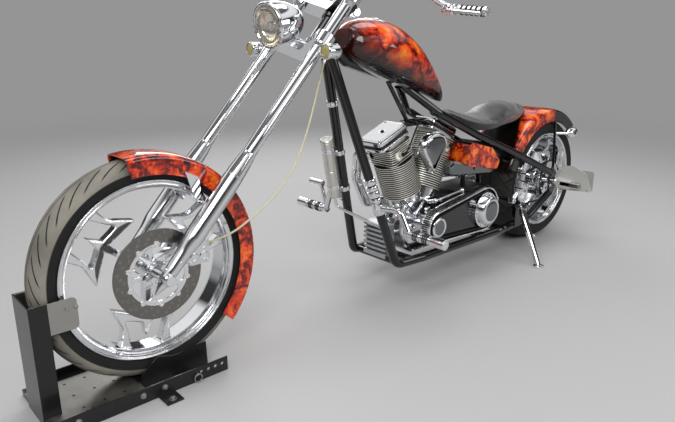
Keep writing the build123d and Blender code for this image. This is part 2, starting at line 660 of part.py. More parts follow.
def fuel_tank():
    # columns from the steering head: x, bottom z, top z, and half width
    rows = [(-104, -69, 25, 58), (-156, -109, 53, 102), (-266, -154, 59, 126), (-396, -197, 19, 124),
            (-516, -233, -69, 104), (-606, -263, -171, 72), (-666, -279, -251, 32)]
    tank = loft([section(HEAD_X + x, HEAD_Z + low, HEAD_Z + high, half) for x, low, high, half in rows])
    cap_x, cap_r, cap_z = HEAD_X - 246, 34, HEAD_Z + 46
    tank -= Pos(cap_x, 0, cap_z) * Cylinder(cap_r + BEAD_GAP, 60, align=UPRIGHT)
    keep("fuel_tank", fitted(tank, "backbone", "upper_stays", "engine_mount"))
    keep("tank_cap", turned_along((cap_x, 0, cap_z), (0, 0, 1), [(0, 0), (0, cap_r), (13, cap_r), (17, 22), (17, 0)]))


def seat():
    # columns: x, bottom and top above the rear axle, half width
    rows = [(776, 388, 424, 56), (700, 362, 402, 84), (610, 322, 380, 108), (540, 312, 366, 122),
            (460, 312, 374, 130), (370, 318, 410, 126), (290, 322, 420, 112), (200, 336, 406, 88), (124, 344, 378, 52)]
    pan = loft([section(x, REAR_TYRE_R + low, REAR_TYRE_R + high, half) for x, low, high, half in rows])
    pan -= cross_bar(0, REAR_TYRE_R, -200, 200, REAR_FENDER_R + SEAT_GAP)
    keep("seat", fitted(pan, "upper_stays", "backbone", "fuel_tank"))


def fender(axle, radius, half, crown, skirt):
    """Half ring over a tyre: arched crown and side skirts of one wall thickness."""
    wall = FENDER_WALL
    outer = [(half, radius - skirt), (half, radius - crown), (half - 26, radius - 4), (0, radius)]
    inner = [(half - wall, radius - skirt), (half - wall, radius - crown - wall / 2),
             (half - 28, radius - 4 - wall), (0, radius - wall)]
    rows = outer + [(-y, r) for y, r in reversed(outer[:-1])]
    rows += [(-y, r) for y, r in inner] + list(reversed(inner[:-1]))
    return turned(rows, axle)


def sector(axle, start, end, radius):
    """Wedge round a wheel axle between two angles up from straight ahead."""
    x, _, z = axle
    steps = 6
    turns = [radians(start + (end - start) * i / steps) for i in range(steps + 1)]
    return side_plate([(x, z)] + [(x + radius * cos(t), z + radius * sin(t)) for t in turns], -400, 400)


def rear_fender():
    """Fender over the fat tyre, held between the upper stays and on two struts."""
    shell = fender(REAR_AXLE, REAR_FENDER_R, REAR_FENDER_HALF, 16, 66) & sector(REAR_AXLE, 16, 132, 700)
    for side in SIDES:
        shell += round_bar((4, side * PLATE_Y, REAR_TYRE_R + 56), (-44, side * 127, 2 * REAR_TYRE_R - 16), 7)
    keep("rear_fender", fitted(shell, "upper_stays", "axle_plates"))


def oil_tank():
    outline = [(690, 604), (520, 560), (452, 492), (470, 452), (716, 500)]
    tank = side_plate(outline, -50, 128)
    tank = fillet(tank.edges().filter_by(Axis.Y), 20)
    keep("oil_tank", fitted(tank, "cylinders", "upper_stays", "cross_members", "transmission", "exhausts"))


def foot_controls():
    """Ringed foot peg on an arm from each downtube, with the brake pedal on the right."""
    # rows along a peg: distance from its root, radius
    rings = [(0, 0), (0, 14), (36, 14), (36, 19), (74, 19), (74, 15), (84, 15), (84, 19), (122, 19), (122, 15),
             (132, 15), (132, 20), (190, 20), (190, 0)]
    pair = []
    for side in SIDES:
        root = downtube_point(398, side)
        x = root[0] - 16
        arm = bent_tube([root, (x + 10, side * 200, 408), (x, side * 240, 322)], 13, 26)
        body = arm + turned_along((x, side * 230, 322), (0, side, 0), rings)
        if side < 0:
            body += round_bar((x, -236, 330), (x + 10, -262, 430), 9)
            body += cross_bar(x + 10, 436, -250, -330, 13)
        pair.append(fitted(body, "downtubes"))
    keep("foot_controls", *pair)


def passenger_pegs():
    pair = []
    for y in (PEG_LEFT_Y, -PEG_RIGHT_Y):
        peg = round_bar((377, y, 325), (352, y, 450), 19)
        link = round_bar((PEG_TUBE_X, y, PEG_TUBE_Z), (372, y, 340), PEG_TUBE_R + 2)
        link += cross_bar(PEG_TUBE_X, PEG_TUBE_Z, y - 13, y + 13, PEG_TUBE_R + 5)
        pair.append(fitted(peg + link, "cross_members"))
    keep("passenger_pegs", *pair)


def plate_and_lamps():
    """Side plate bracket on the axle's left end with its light box, blank plate and rear signals."""
    # columns: y, height above the axle
    outline = [(184, -28), (184, 60), (217, 86), (273, 90), (332, 63), (372, -28), (206, -43)]
    plane = Plane(origin=(-18, 0, REAR_TYRE_R), x_dir=(0, 1, 0), z_dir=(1, 0, 0))
    bracket = extrude(plane * make_face(Polyline([*outline, outline[0]])), amount=-4)
    bracket += block(-18, 12, 196, 266, REAR_TYRE_R - 28, REAR_TYRE_R + 10)
    bracket += block(-22, 8, 184, 215, REAR_TYRE_R - 16, REAR_TYRE_R + 16)
    keep("plate_bracket", fitted(bracket, "rear_axle"))
    plate = Pos(-24, 284, REAR_TYRE_R + 24) * Box(4, 178, 102)
    keep("number_plate", fillet(plate.edges().filter_by(Axis.X), 10))
    signals = []
    for side in SIDES:
        z = REAR_TYRE_R + 238
        lamp = turned_along((-182, side * 164, z), (1, 0, 0), [(0, 0), (0, 20), (8, 25), (48, 25), (74, 10), (74, 0)])
        lamp += round_bar((-112, side * 164, z), (-30, side * 137, z + 6), 7)
        signals.append(fitted(lamp, "rear_fender"))
    keep("rear_signals", *signals)


def rear_caliper():
    body = block(96, 156, -150, -100, REAR_TYRE_R + 22, REAR_TYRE_R + 102, 12)
    body -= cross_bar(0, REAR_TYRE_R, -REAR_HUB_HALF - REAR_ROTOR_T - 3, -REAR_HUB_HALF + 3, REAR_ROTOR_R + 4)
    body += block(20, 110, -159, -150, REAR_TYRE_R + 2, REAR_TYRE_R + 44)
    keep("rear_caliper", fitted(body, "axle_plates", "rear_axle", "upper_stays"))


# Fork


def fork_legs():
    rows = [(-58, 0), (-58, 3), (-8, 20), (88, 23), (140, SLIDER_R), (366, SLIDER_R), (SLIDER_S, 24), (SLIDER_S, 0)]
    top = UPPER_TREE_S + 26
    tube = [(SLIDER_S, 0), (SLIDER_S, FORK_TUBE_R), (top, FORK_TUBE_R), (top + 6, 12), (top + 6, 0)]
    bore = cross_bar(WHEELBASE, FRONT_AXLE_Z, -200, 200, FRONT_AXLE_R)
    keep("fork_sliders", *[leg_turned(rows, side * FORK_HALF) - bore for side in SIDES])
    keep("fork_tubes", *[leg_turned(tube, side * FORK_HALF) for side in SIDES])


def front_axle():
    end = FORK_HALF + 34
    leg_r = 23
    axle = cross_bar(WHEELBASE, FRONT_AXLE_Z, -end, end, FRONT_AXLE_R)
    for side in SIDES:
        inner = (ROTOR_Y + ROTOR_T / 2 if side > 0 else FRONT_HUB_HALF) + SEAT_GAP
        axle += cross_bar(WHEELBASE, FRONT_AXLE_Z, side * inner, side * (FORK_HALF - leg_r), FRONT_AXLE_R + 6)
        axle += cross_bar(WHEELBASE, FRONT_AXLE_Z, side * (FORK_HALF + leg_r - 1), side * end, 16)
    keep("front_axle", axle)


def tree(s, thickness):
    """Clamp plate that holds both legs and the steering stem."""
    outline = Sketch()
    for side in SIDES:
        rounds = Pos(0, side * FORK_HALF) * Circle(FORK_TUBE_R + TREE_WALL) + Pos(-STEER_OFFSET, 0) * Circle(38)
        outline += make_hull(rounds.edges())
    for side in SIDES:
        outline -= Pos(0, side * FORK_HALF) * Circle(FORK_TUBE_R)
    return FORK * (Pos(0, 0, s - thickness / 2) * extrude(outline, amount=thickness))


def trees():
    top = UPPER_TREE_S + 24
    stem = leg_turned([(LOWER_TREE_S, 0), (LOWER_TREE_S, STEM_R), (top, STEM_R), (top, 0)], 0, -STEER_OFFSET)
    end = Vector(*hose_point(0))
    knee = end + (end - Vector(*hose_point(1))).normalized() * 14
    union = round_bar(knee, end, 6) + round_bar(fork_point(LOWER_TREE_S, 82, -24), knee, 6) + Pos(*knee) * Sphere(6)
    keep("lower_tree", tree(LOWER_TREE_S, LOWER_TREE_T) + stem + union)
    keep("upper_tree", tree(UPPER_TREE_S, UPPER_TREE_T) - stem)


def handlebar():
    """Swept bar on two risers, a grip sleeve at each end and a lever ahead of each grip."""
    riser_y, riser_ahead, riser_r = 72.0, -40.0, 16.0
    top_s = UPPER_TREE_S + 92
    foot_s = UPPER_TREE_S + UPPER_TREE_T / 2
    x, _, z = fork_point(top_s, 0, riser_ahead)
    half = [(HEAD_X - 427, GRIP_END_Y, HEAD_Z + 79), (HEAD_X - 404, GRIP_END_Y - 150, HEAD_Z + 93),
            (HEAD_X - 306, 215, HEAD_Z + 146), (x, 105, z)]
    bar = bent_tube(half + [(px, -py, pz) for px, py, pz in reversed(half)], BAR_R, 40)
    for side in SIDES:
        foot = fork_point(foot_s, side * riser_y, riser_ahead)
        bar += round_bar(foot, fork_point(top_s, side * riser_y, riser_ahead), riser_r)
    keep("handlebar", bar)
    grips, levers = [], []
    for side in SIDES:
        tip = Vector(half[0][0], side * half[0][1], half[0][2])
        root = Vector(half[1][0], side * half[1][1], half[1][2])
        start = tip + (root - tip) * 0.8
        grips.append(round_bar(start, tip, GRIP_R, BAR_R + RUN))
        clamp = root + (tip - root) * 0.1
        ahead = Vector(44, 0, -6)
        lever = round_bar((clamp + Vector(6, 0, 2)), (clamp + ahead), 15)
        lever += bent_tube([(clamp + ahead), (clamp + ahead * 1.3 + Vector(0, side * 30, 0)),
                            (tip + ahead * 1.1)], 7, 20)
        levers.append(fitted(lever, "handlebar"))
    keep("hand_grips", *grips)
    keep("hand_levers", *levers)


def headlight():
    """Bullet lamp on a stalk from the lower tree."""
    face = (HEAD_X + 240, 0, HEAD_Z + 27)
    back = (-0.985, 0, 0.17)
    rows = [(9, 0), (9, 64), (0, 68), (0, 73), (6, 78), (14, 76), (30, 76), (78, 68), (120, 48), (146, 24), (154, 0)]
    shell = turned_along(face, back, rows)
    shell += round_bar(fork_point(LOWER_TREE_S + 4, 0, -24), (HEAD_X + 156, 0, HEAD_Z + 3), 10)
    keep("headlight", fitted(shell, "lower_tree"))


def front_signals():
    lamps = []
    for side in SIDES:
        x, _, z = fork_point(872, 0, 0)
        stalk = round_bar((x, side * FORK_HALF, z), (x, side * 200, z), 7)
        lamp = turned_along((x - 36, side * 208, z), (1, 0, 0), [(0, 0), (0, 10), (22, 25), (62, 25), (70, 20), (70, 0)])
        lamps.append(fitted(stalk + lamp, "fork_tubes"))
    keep("front_signals", *lamps)


def front_fender():
    """Fender close over the front tyre, carried by a thorn-shaped bracket on each slider."""
    half = FRONT_FENDER_HALF
    shell = fender(FRONT_AXLE, FRONT_FENDER_R, half, 18, 62) & sector(FRONT_AXLE, 80, 223, 700)
    keep("front_fender", shell)
    # columns from the axle as shares of the fender's radius: x, z
    shares = [(-0.313, 0.819), (-0.363, 0.659), (-0.412, 0.522), (-0.478, 0.467), (-0.516, 0.511), (-0.451, 0.643),
              (-0.434, 0.753)]
    outline = [(WHEELBASE + x * FRONT_FENDER_R, FRONT_AXLE_Z + z * FRONT_FENDER_R) for x, z in shares]
    boss_x, boss_z = WHEELBASE - 0.464 * FRONT_FENDER_R, FRONT_AXLE_Z + 0.516 * FRONT_FENDER_R
    brackets = []
    for side in SIDES:
        thorn = side_plate(outline, side * half, side * (half + 4))
        boss = cross_bar(boss_x, boss_z, side * half, side * FORK_HALF, 9)
        brackets.append(fitted(thorn + boss, "fork_sliders", "front_fender"))
    keep("fender_brackets", *brackets)


def front_caliper():
    """Four-pot caliper over the disc, on a lug from the left slider."""
    low, high = FRONT_AXLE_Z + 6, FRONT_AXLE_Z + 90
    body = block(CALIPER_X, CALIPER_X + 76, ROTOR_Y - 22, ROTOR_Y + 22, low, high, 14)
    slot = ROTOR_T / 2 + 3
    body -= cross_bar(WHEELBASE, FRONT_AXLE_Z, ROTOR_Y - slot, ROTOR_Y + slot, ROTOR_R + 4)
    body += block(CALIPER_X + 24, CALIPER_X + 64, ROTOR_Y + 12, FORK_HALF, high - 20, high + 14)
    keep("front_caliper", fitted(body, "fork_sliders"))


# Side stand


def side_stand():
    """Leg with a flat foot, on a pin in its lug."""
    leg = round_bar(STAND_PIVOT, STAND_FOOT, STAND_R)
    leg += round_bar(along_pivot(-STAND_BOSS_HALF), along_pivot(STAND_BOSS_HALF), STAND_BOSS_R)
    leg -= round_bar(along_pivot(-2 * STAND_BOSS_HALF), along_pivot(2 * STAND_BOSS_HALF), STAND_PIN_R + RUN)
    x, y, _ = STAND_FOOT
    leg += Pos(x, y, 0) * Cylinder(24, 8, align=UPRIGHT)
    leg -= block(x - 100, x + 100, y - 100, y + 100, -60, 0)
    keep("side_stand", leg)


# Wheel chock


def chock():
    """Post with two cheek plates round the tyre, drilled rails, straps, bare pan and cradle."""
    post_rear = POST_FRONT_X - POST_DEPTH
    web_x = POST_FRONT_X - CHOCK_WALL
    flange = POST_HALF - CHOCK_WALL
    post = block(web_x, POST_FRONT_X, -POST_HALF, POST_HALF, 0, POST_TOP)
    cheeks = []
    for side in SIDES:
        post += block(post_rear, POST_FRONT_X, side * POST_HALF, side * flange, 0, POST_TOP)
        cheek = block(post_rear - 79, web_x, side * flange, side * (flange - CHOCK_WALL), HEAD_LOW, POST_TOP)
        rear_edges = cheek.edges().filter_by(Axis.Y).group_by(Axis.X)[0]
        cheeks.append(fillet(rear_edges, HEAD_CORNER))
    keep("chock_post", post)
    keep("chock_head", *cheeks)
    # columns: rear x, front x, bottom z, top z of the plates between the rails
    straps = [(CHOCK_REAR_X + 96, CHOCK_REAR_X + 150, 0, CHOCK_WALL), (WHEELBASE + 60, WHEELBASE + 100, 0, PAN_Z),
              (web_x - 64, web_x, 0, PAN_Z)]
    base = Part()
    for x0, x1, low, high in straps:
        base += block(x0, x1, -CHOCK_HALF, CHOCK_HALF, low, high)
    # columns from the front axle: x, z
    outline = [(-150, 0), (-148, 84), (-27, 77), (22, 93), (49, 72), (79, 46), (82, 0)]
    for side in SIDES:
        outer = side * CHOCK_HALF
        base += block(CHOCK_REAR_X, POST_FRONT_X - 22, outer, outer - side * CHOCK_WALL, 0, RAIL_H)
        for i in range(HOLES):
            x = CHOCK_REAR_X + 20 + i * HOLE_PITCH
            base -= cross_bar(x, RAIL_H * 0.6, outer + side, outer - side * (CHOCK_WALL + 1), HOLE_R)
        base += block(WHEELBASE + 10, WHEELBASE + 64, outer - side * CHOCK_WALL, outer + side * 60, 0, CHOCK_WALL)
        cheek = side * 72
        base += side_plate([(WHEELBASE + x, z) for x, z in outline], cheek, cheek - side * CHOCK_WALL)
    saddle = block(WHEELBASE - 90, WHEELBASE + 90, -70, 70, 0, CHOCK_LIFT + 26)
    base += saddle - cross_bar(WHEELBASE, FRONT_AXLE_Z, -70, 70, FRONT_TYRE_R + CRADLE_GAP)
    keep("chock_base", fitted(base, "chock_post"))
    pan = block(WHEELBASE + 86, web_x, -PAN_HALF, PAN_HALF, PAN_Z, PAN_Z + CHOCK_WALL)
    keep("chock_pan", fitted(pan, "chock_post", "chock_base"))


# Cord


def brake_hose():
    """Hose from its union under the lower tree to the caliper, hanging in one long curve."""
    radius = 3.5
    vectors = [Vector(*hose_point(i)) for i in range(len(HOSE_ROWS))]
    radii = []
    for a, b, c in zip(vectors, vectors[1:], vectors[2:]):
        turn = radians((b - a).get_angle(c - b))
        radii.append(0.45 * min((b - a).length, (c - b).length) / tan(turn / 2))
    print("brake hose radii", [round(r) for r in radii])
    path = FilletPolyline(*vectors, radius=radii)
    hose = sweep(Plane(origin=vectors[0], z_dir=vectors[1] - vectors[0]) * Circle(radius), path=path)
    print("brake hose length", round(path.length), "volume", round(hose.volume), round(path.length * pi * radius ** 2))
    keep("brake_hose", hose)


def build():
    front_wheel()
    rear_wheel()
    backbone()
    frame_tubes()
    cross_members()
    rear_axle()
    crankcase()
    cylinders()
    exhausts()
    intake()
    engine_mount()
    transmission()
    primary_drive()
    final_belt()
    front_of_engine()
    fuel_tank()
    seat()
    rear_fender()
    oil_tank()
    foot_controls()
    passenger_pegs()
    plate_and_lamps()
    rear_caliper()
    fork_legs()
    front_axle()
    trees()
    handlebar()
    headlight()
    front_signals()
    front_fender()
    front_caliper()
    side_stand()
    chock()
    brake_hose()


build()
os.makedirs("parts", exist_ok=True)
for node, solids in PARTS.items():
    placed = [Pos(-REACH, 0, 0) * solid for solid in solids]
    flat = [piece for solid in placed for piece in solid.solids()]
    shape = flat[0] if len(flat) == 1 else Compound(children=flat)
    export_step(shape, f"parts/{node}.step")
    print(node, len(flat), round(sum(piece.volume for piece in flat) / 1000))
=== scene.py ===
import bpy
import bmesh
from math import acos, atan2, cos, pi, radians, sin, sqrt, tan
from mathutils import Matrix, Vector


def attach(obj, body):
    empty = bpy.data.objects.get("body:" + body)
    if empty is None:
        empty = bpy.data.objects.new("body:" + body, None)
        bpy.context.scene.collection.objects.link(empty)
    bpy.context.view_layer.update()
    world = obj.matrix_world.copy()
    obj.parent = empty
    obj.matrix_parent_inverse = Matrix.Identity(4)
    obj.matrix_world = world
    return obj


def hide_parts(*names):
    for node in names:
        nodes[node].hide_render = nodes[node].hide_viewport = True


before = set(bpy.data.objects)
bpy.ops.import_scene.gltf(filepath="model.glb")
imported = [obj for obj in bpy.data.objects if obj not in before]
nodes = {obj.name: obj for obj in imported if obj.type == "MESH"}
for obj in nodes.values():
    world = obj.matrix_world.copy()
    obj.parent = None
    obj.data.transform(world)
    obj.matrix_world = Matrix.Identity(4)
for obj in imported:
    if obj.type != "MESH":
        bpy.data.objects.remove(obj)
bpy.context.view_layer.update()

# Design frame of the part's source, in millimetres from the rear axle: X forward, Y left, Z up
REACH = 1110.5
WHEELBASE, RAKE, FRONT_AXLE_Z, REAR_AXLE_Z = 2180.0, 42.5, 366.0, 328.0
CRANK_X, CRANK_Z, CYLINDER_ANGLE = 940.0, 265.0, 22.5
FORK_HALF, STEER_OFFSET, LOWER_TREE_S, UPPER_TREE_S = 129.0, 65.0, 915.0, 1100.0
RAIL_Z, FIN_R, FIN_PITCH, FIN_THICKNESS = 146.0, 86, 9.6, 4.0
FRONT_TYRE_R, FRONT_TYRE_WIDTH, FRONT_RIM_R, FRONT_RIM_WIDTH = 348, 114, 283, 104
REAR_TYRE_R, REAR_TYRE_WIDTH, REAR_RIM_R, REAR_RIM_WIDTH = 328, 240, 245, 232
FRAME_BODY, FORK_BODY = "frame_assembly", "fork_assembly"
FRONT_BODY, REAR_BODY, STAND_BODY = "front_wheel_assembly", "rear_wheel_assembly", "stand_leg"
X_AXIS, Y_AXIS, Z_AXIS = Vector((1, 0, 0)), Vector((0, 1, 0)), Vector((0, 0, 1))
SIDES = (1, -1)


def row(p):
    """Point of the row frame, in metres, for a point of the design frame in millimetres."""
    return Vector(((p[0] - REACH) / 1000, p[1] / 1000, p[2] / 1000))


def turns(count, shift=0.0):
    """Angles of a full turn in equal steps, shifted by a share of a step."""
    return [2 * pi * (i + shift) / count for i in range(count)]


def radial(t, r=1.0):
    """Vector of length r at angle t round the Y axis."""
    return Vector((r * cos(t), 0, r * sin(t)))


def crank(x, y, z):
    """Design point at a distance from the crankshaft."""
    return Vector((CRANK_X + x, y, CRANK_Z + z))


def fork_point(s, y=0.0, ahead=0.0):
    """Design point s up the fork legs and a distance ahead of them."""
    a = radians(RAKE)
    return Vector((WHEELBASE - s * sin(a) + ahead * cos(a), y, FRONT_AXLE_Z + s * cos(a) + ahead * sin(a)))


CRANK = crank(0, 0, 0)
FRONT_CENTRE, REAR_CENTRE = Vector((WHEELBASE, 0, FRONT_AXLE_Z)), Vector((0, 0, REAR_AXLE_Z))
FORK_AHEAD = radial(radians(RAKE))
FORK_UP = FORK_AHEAD.cross(Y_AXIS)
HEAD_X, _, HEAD_Z = fork_point(1000, 0, -STEER_OFFSET)


# Materials
SOCKETS = {"color": "Base Color", "metal": "Metallic", "rough": "Roughness", "coat": "Coat Weight",
           "coat_rough": "Coat Roughness", "sheen": "Sheen Weight", "spec": "Specular IOR Level",
           "transmission": "Transmission Weight", "ior": "IOR"}


class Shade:
    """Short way to write a node material."""

    def __init__(self, name, **values):
        self.mat = bpy.data.materials.new(name)
        self.mat.use_nodes = True
        self.tree = self.mat.node_tree
        self.bsdf = self.tree.nodes["Principled BSDF"]
        for key, value in values.items():
            socket = self.bsdf.inputs[SOCKETS[key]]
            socket.default_value = (*value, 1) if isinstance(value, tuple) else value

    def node(self, kind, **inputs):
        """New node; an input is named, or numbered as i0, i1 and so on."""
        n = self.tree.nodes.new(kind)
        for key, value in inputs.items():
            self.put(n, int(key[1:]) if key[0] == "i" and key[1:].isdigit() else key, value)
        return n

    def put(self, n, key, value):
        if isinstance(value, bpy.types.NodeSocket):
            self.tree.links.new(value, n.inputs[key])
        else:
            n.inputs[key].default_value = value

    def math(self, op, *values):
        n = self.tree.nodes.new("ShaderNodeMath")
        n.operation = op
        for i, value in enumerate(values):
            self.put(n, i, value)
        return n.outputs[0]

    def fade(self, value, low, high):
        """From 0 where the value is low to 1 where it is high."""
        return self.node("ShaderNodeMapRange", i0=value, i1=low, i2=high).outputs[0]

    def object_coords(self):
        return self.node("ShaderNodeTexCoord").outputs["Object"]

    def noise(self, scale, detail, vector=None, rough=0.5):
        place = vector if vector is not None else self.object_coords()
        n = self.node("ShaderNodeTexNoise", Scale=scale, Detail=detail, Roughness=rough, Vector=place)
        return n.outputs["Fac"]

    def cell_edge(self, scale, vector):
        """Distance to the edge of the nearest cell."""
        n = self.node("ShaderNodeTexVoronoi", Scale=scale, Vector=vector)
        n.feature = "DISTANCE_TO_EDGE"
        return n.outputs["Distance"]

    def ramp(self, fac, *stops):
        n = self.node("ShaderNodeValToRGB", Fac=fac)
        fill_ramp(n, stops)
        return n.outputs["Color"]

    def mix(self, fac, a, b):
        n = self.tree.nodes.new("ShaderNodeMix")
        n.data_type = "RGBA"
        for index, value in ((0, fac), (6, a), (7, b)):
            self.put(n, index, (*value, 1) if isinstance(value, tuple) else value)
        return n.outputs[2]

    def link(self, socket, key):
        self.tree.links.new(socket, self.bsdf.inputs[key])

    def bump(self, height, strength, distance):
        n = self.node("ShaderNodeBump", Height=height, Strength=strength, Distance=distance)
        self.link(n.outputs[0], "Normal")

    def soften(self, radius):
        """Rounded edges in the look only."""
        n = self.node("ShaderNodeBevel", Radius=radius)
        n.samples = 4
        self.link(n.outputs[0], "Normal")


def fill_ramp(n, stops):
    """Set a colour ramp's stops, each a position and a colour or one grey value."""
    elements = n.color_ramp.elements
    while len(elements) < len(stops):
        elements.new(0.5)
    for e, (pos, color) in zip(elements, stops):
        e.position = pos
        e.color = (*color, 1) if isinstance(color, tuple) else (color, color, color, 1)


def metal(name, color, rough, scale=60.0, spread=0.06, edge=0.0015):
    """Metal with rounded edges and slightly uneven polish."""
    s = Shade(name, color=color, metal=1.0)
    low, high = max(rough - spread / 2, 0.02), rough + spread / 2
    s.link(s.ramp(s.noise(scale, 3.0), (0.3, low), (0.7, high)), "Roughness")
    if edge:
        s.soften(edge)
    return s.mat


def paint(name, color, rough=0.08, coat=1.0):
    s = Shade(name, color=color, rough=rough, spec=0.25, coat=coat, coat_rough=0.03)
    s.soften(0.0012)
    return s.mat


CHROME = metal("chrome", (0.80, 0.81, 0.83), 0.07)
WHEEL_CHROME = metal("wheel_chrome", (0.80, 0.81, 0.83), 0.06, edge=0.006)
POLISHED = metal("polished_aluminium", (0.74, 0.75, 0.77), 0.13)
SATIN = metal("satin_aluminium", (0.50, 0.51, 0.53), 0.34, spread=0.12)
CAST = metal("cast_aluminium", (0.36, 0.37, 0.39), 0.46, scale=180.0, spread=0.2)
STEEL = metal("bare_steel", (0.40, 0.39, 0.37), 0.38, scale=25.0, spread=0.25)
DARK_METAL = metal("dark_metal", (0.055, 0.055, 0.06), 0.35)
BLACK_PAINT = paint("black_paint", (0.004, 0.004, 0.005), coat=0.7)
BLACK_SATIN = paint("black_satin", (0.012, 0.012, 0.013), rough=0.32, coat=0.3)
RUBBER = Shade("black_rubber", color=(0.012, 0.012, 0.013), rough=0.62, spec=0.3).mat
GLASS = Shade("lamp_glass", color=(0.93, 0.95, 0.97), rough=0.06, transmission=0.85, ior=1.3, coat=0.6).mat
RED_LENS = Shade("red_lens", color=(0.45, 0.01, 0.01), rough=0.12, coat=1.0).mat
CLEAR_LENS = Shade("clear_lens", color=(0.62, 0.58, 0.48), rough=0.16, coat=1.0).mat
BRASS = metal("brass", (0.62, 0.44, 0.18), 0.25)
DARK_STEEL = metal("dark_disc_steel", (0.20, 0.19, 0.175), 0.34, scale=90.0, spread=0.2)
DARK_CHROME = metal("smoked_chrome", (0.22, 0.225, 0.23), 0.05)
BLACK_METAL = metal("black_inside", (0.09, 0.09, 0.095), 0.14)
FIN_METAL = metal("polished_fins", (0.86, 0.84, 0.77), 0.42, scale=90.0, edge=0)
FIN_FACE = metal("shaded_fin_faces", (0.05, 0.05, 0.048), 0.45, scale=90.0, spread=0.12)
BRUSHED = metal("brushed_aluminium", (0.72, 0.71, 0.67), 0.34, scale=30.0, spread=0.15)
REFLECTOR = metal("lamp_reflector", (0.80, 0.74, 0.60), 0.16)
GREEN_AMBER = Shade("aged_amber_lens", color=(0.42, 0.36, 0.13), rough=0.22, coat=1.0).mat
PALE_PLATE = Shade("blank_plate", color=(0.38, 0.38, 0.37), rough=0.4).mat
FROSTED = Shade("frosted_aluminium", color=(0.78, 0.78, 0.75), metal=0.45, rough=0.38).mat
HOSE_SKIN = Shade("pale_hose", color=(0.66, 0.62, 0.42), rough=0.35, coat=0.4).mat



def artwork(name, scale, bands, shift):
    """Marbled red and orange paint in cells between dark veins, blended to another colour outside bands."""
    s = Shade(name, rough=0.25, spec=0.2, coat=0.9, coat_rough=0.02)
    coords = s.object_coords()
    moved = s.node("ShaderNodeVectorMath", i0=coords, i1=shift).outputs[0]
    warp = s.node("ShaderNodeTexNoise", Scale=scale * 0.9, Detail=5.0, Roughness=0.65, Vector=moved)
    push = s.node("ShaderNodeVectorMath", i0=warp.outputs["Color"], i1=(0.13, 0.13, 0.13))
    push.operation = "MULTIPLY"
    place = s.node("ShaderNodeVectorMath", i0=moved, i1=push.outputs[0]).outputs[0]
    depth = s.math("ADD", s.math("MULTIPLY", s.cell_edge(scale, place), 1.25),
                   s.math("MULTIPLY", s.cell_edge(scale * 2.6, place), 0.55))
    veins = s.math("SUBTRACT", depth, 0.13)
    cloud = s.math("MULTIPLY_ADD", s.noise(scale * 3.2, 5.0, place, 0.6), 0.30, veins)
    color = s.ramp(cloud, (0.0, (0.006, 0.001, 0.001)), (0.10, (0.12, 0.004, 0.002)),
                   (0.20, (0.50, 0.020, 0.004)), (0.34, (0.85, 0.075, 0.006)), (0.62, (1.0, 0.27, 0.02)))
    split = s.node("ShaderNodeSeparateXYZ", Vector=coords)
    for (ax, ay, az), low, high, ragged, outside in bands:
        line = s.math("MULTIPLY", split.outputs["X"], ax)
        line = s.math("MULTIPLY_ADD", s.math("ABSOLUTE", split.outputs["Y"]), ay, line)
        line = s.math("MULTIPLY_ADD", split.outputs["Z"], az, line)
        line = s.math("MULTIPLY_ADD", s.math("SUBTRACT", s.noise(16.0, 4.0, coords), 0.5), ragged, line)
        color = s.mix(s.fade(line, low, high), outside, color)
    s.link(color, "Base Color")
    s.soften(0.002)
    return s


BLACK = (0.006, 0.003, 0.003)
DARK_RED = (0.035, 0.003, 0.002)
TANK_BANDS = [((-0.43, 0, 1), 0.905, 0.985, 0.05, BLACK), ((1, 0, 0.55), 0.21, 0.31, 0.05, BLACK),
              ((-1, 0, 0.1), -0.145, -0.065, 0.06, DARK_RED)]
REAR_BANDS = [((1, 0, 0), -1.160, -1.110, 0.04, BLACK), ((-1, 2.1, 0), 1.045, 1.065, 0.02, BLACK),
              ((0, 0, 1), 0.500, 0.515, 0.02, BLACK)]
TANK_ART = artwork("marbled_tank", 10.0, TANK_BANDS, (0.3, 0.1, 0.2)).mat
FRONT_ART = artwork("marbled_front_fender", 13.0, [], (0.1, 0.7, 0.4)).mat
REAR_ART = artwork("marbled_rear_fender", 12.0, REAR_BANDS, (0.6, 0.2, 0.9)).mat


def oil_tank_art_and_painted_reflection():
    """Marbled sides; the faces that look up are painted black, a painted reflection of the dark frame and
    seat mirrored in the chrome top.
    """
    s = artwork("marbled_oil_tank_painted_reflection_top", 15.0, [], (0.8, 0.5, 0.3))
    split = s.node("ShaderNodeSeparateXYZ", Vector=s.node("ShaderNodeNewGeometry").outputs["Normal"])
    base = s.bsdf.inputs["Base Color"].links[0].from_socket
    # painted reflection: faces that look up turn black for the dark frame and seat mirrored in the chrome top
    s.link(s.mix(s.fade(split.outputs["Z"], 0.55, 0.75), base, BLACK), "Base Color")
    return s.mat


OIL_ART_AND_PAINTED_REFLECTION = oil_tank_art_and_painted_reflection()


def leather(name):
    """Black leather with a fine grain."""
    s = Shade(name, color=(0.014, 0.014, 0.015), rough=0.36, sheen=0.4, coat=0.15)
    grain = s.node("ShaderNodeTexVoronoi", Scale=420.0, Vector=s.object_coords())
    s.bump(grain.outputs["Distance"], 0.22, 0.0006)
    return s.mat


LEATHER = leather("black_leather")


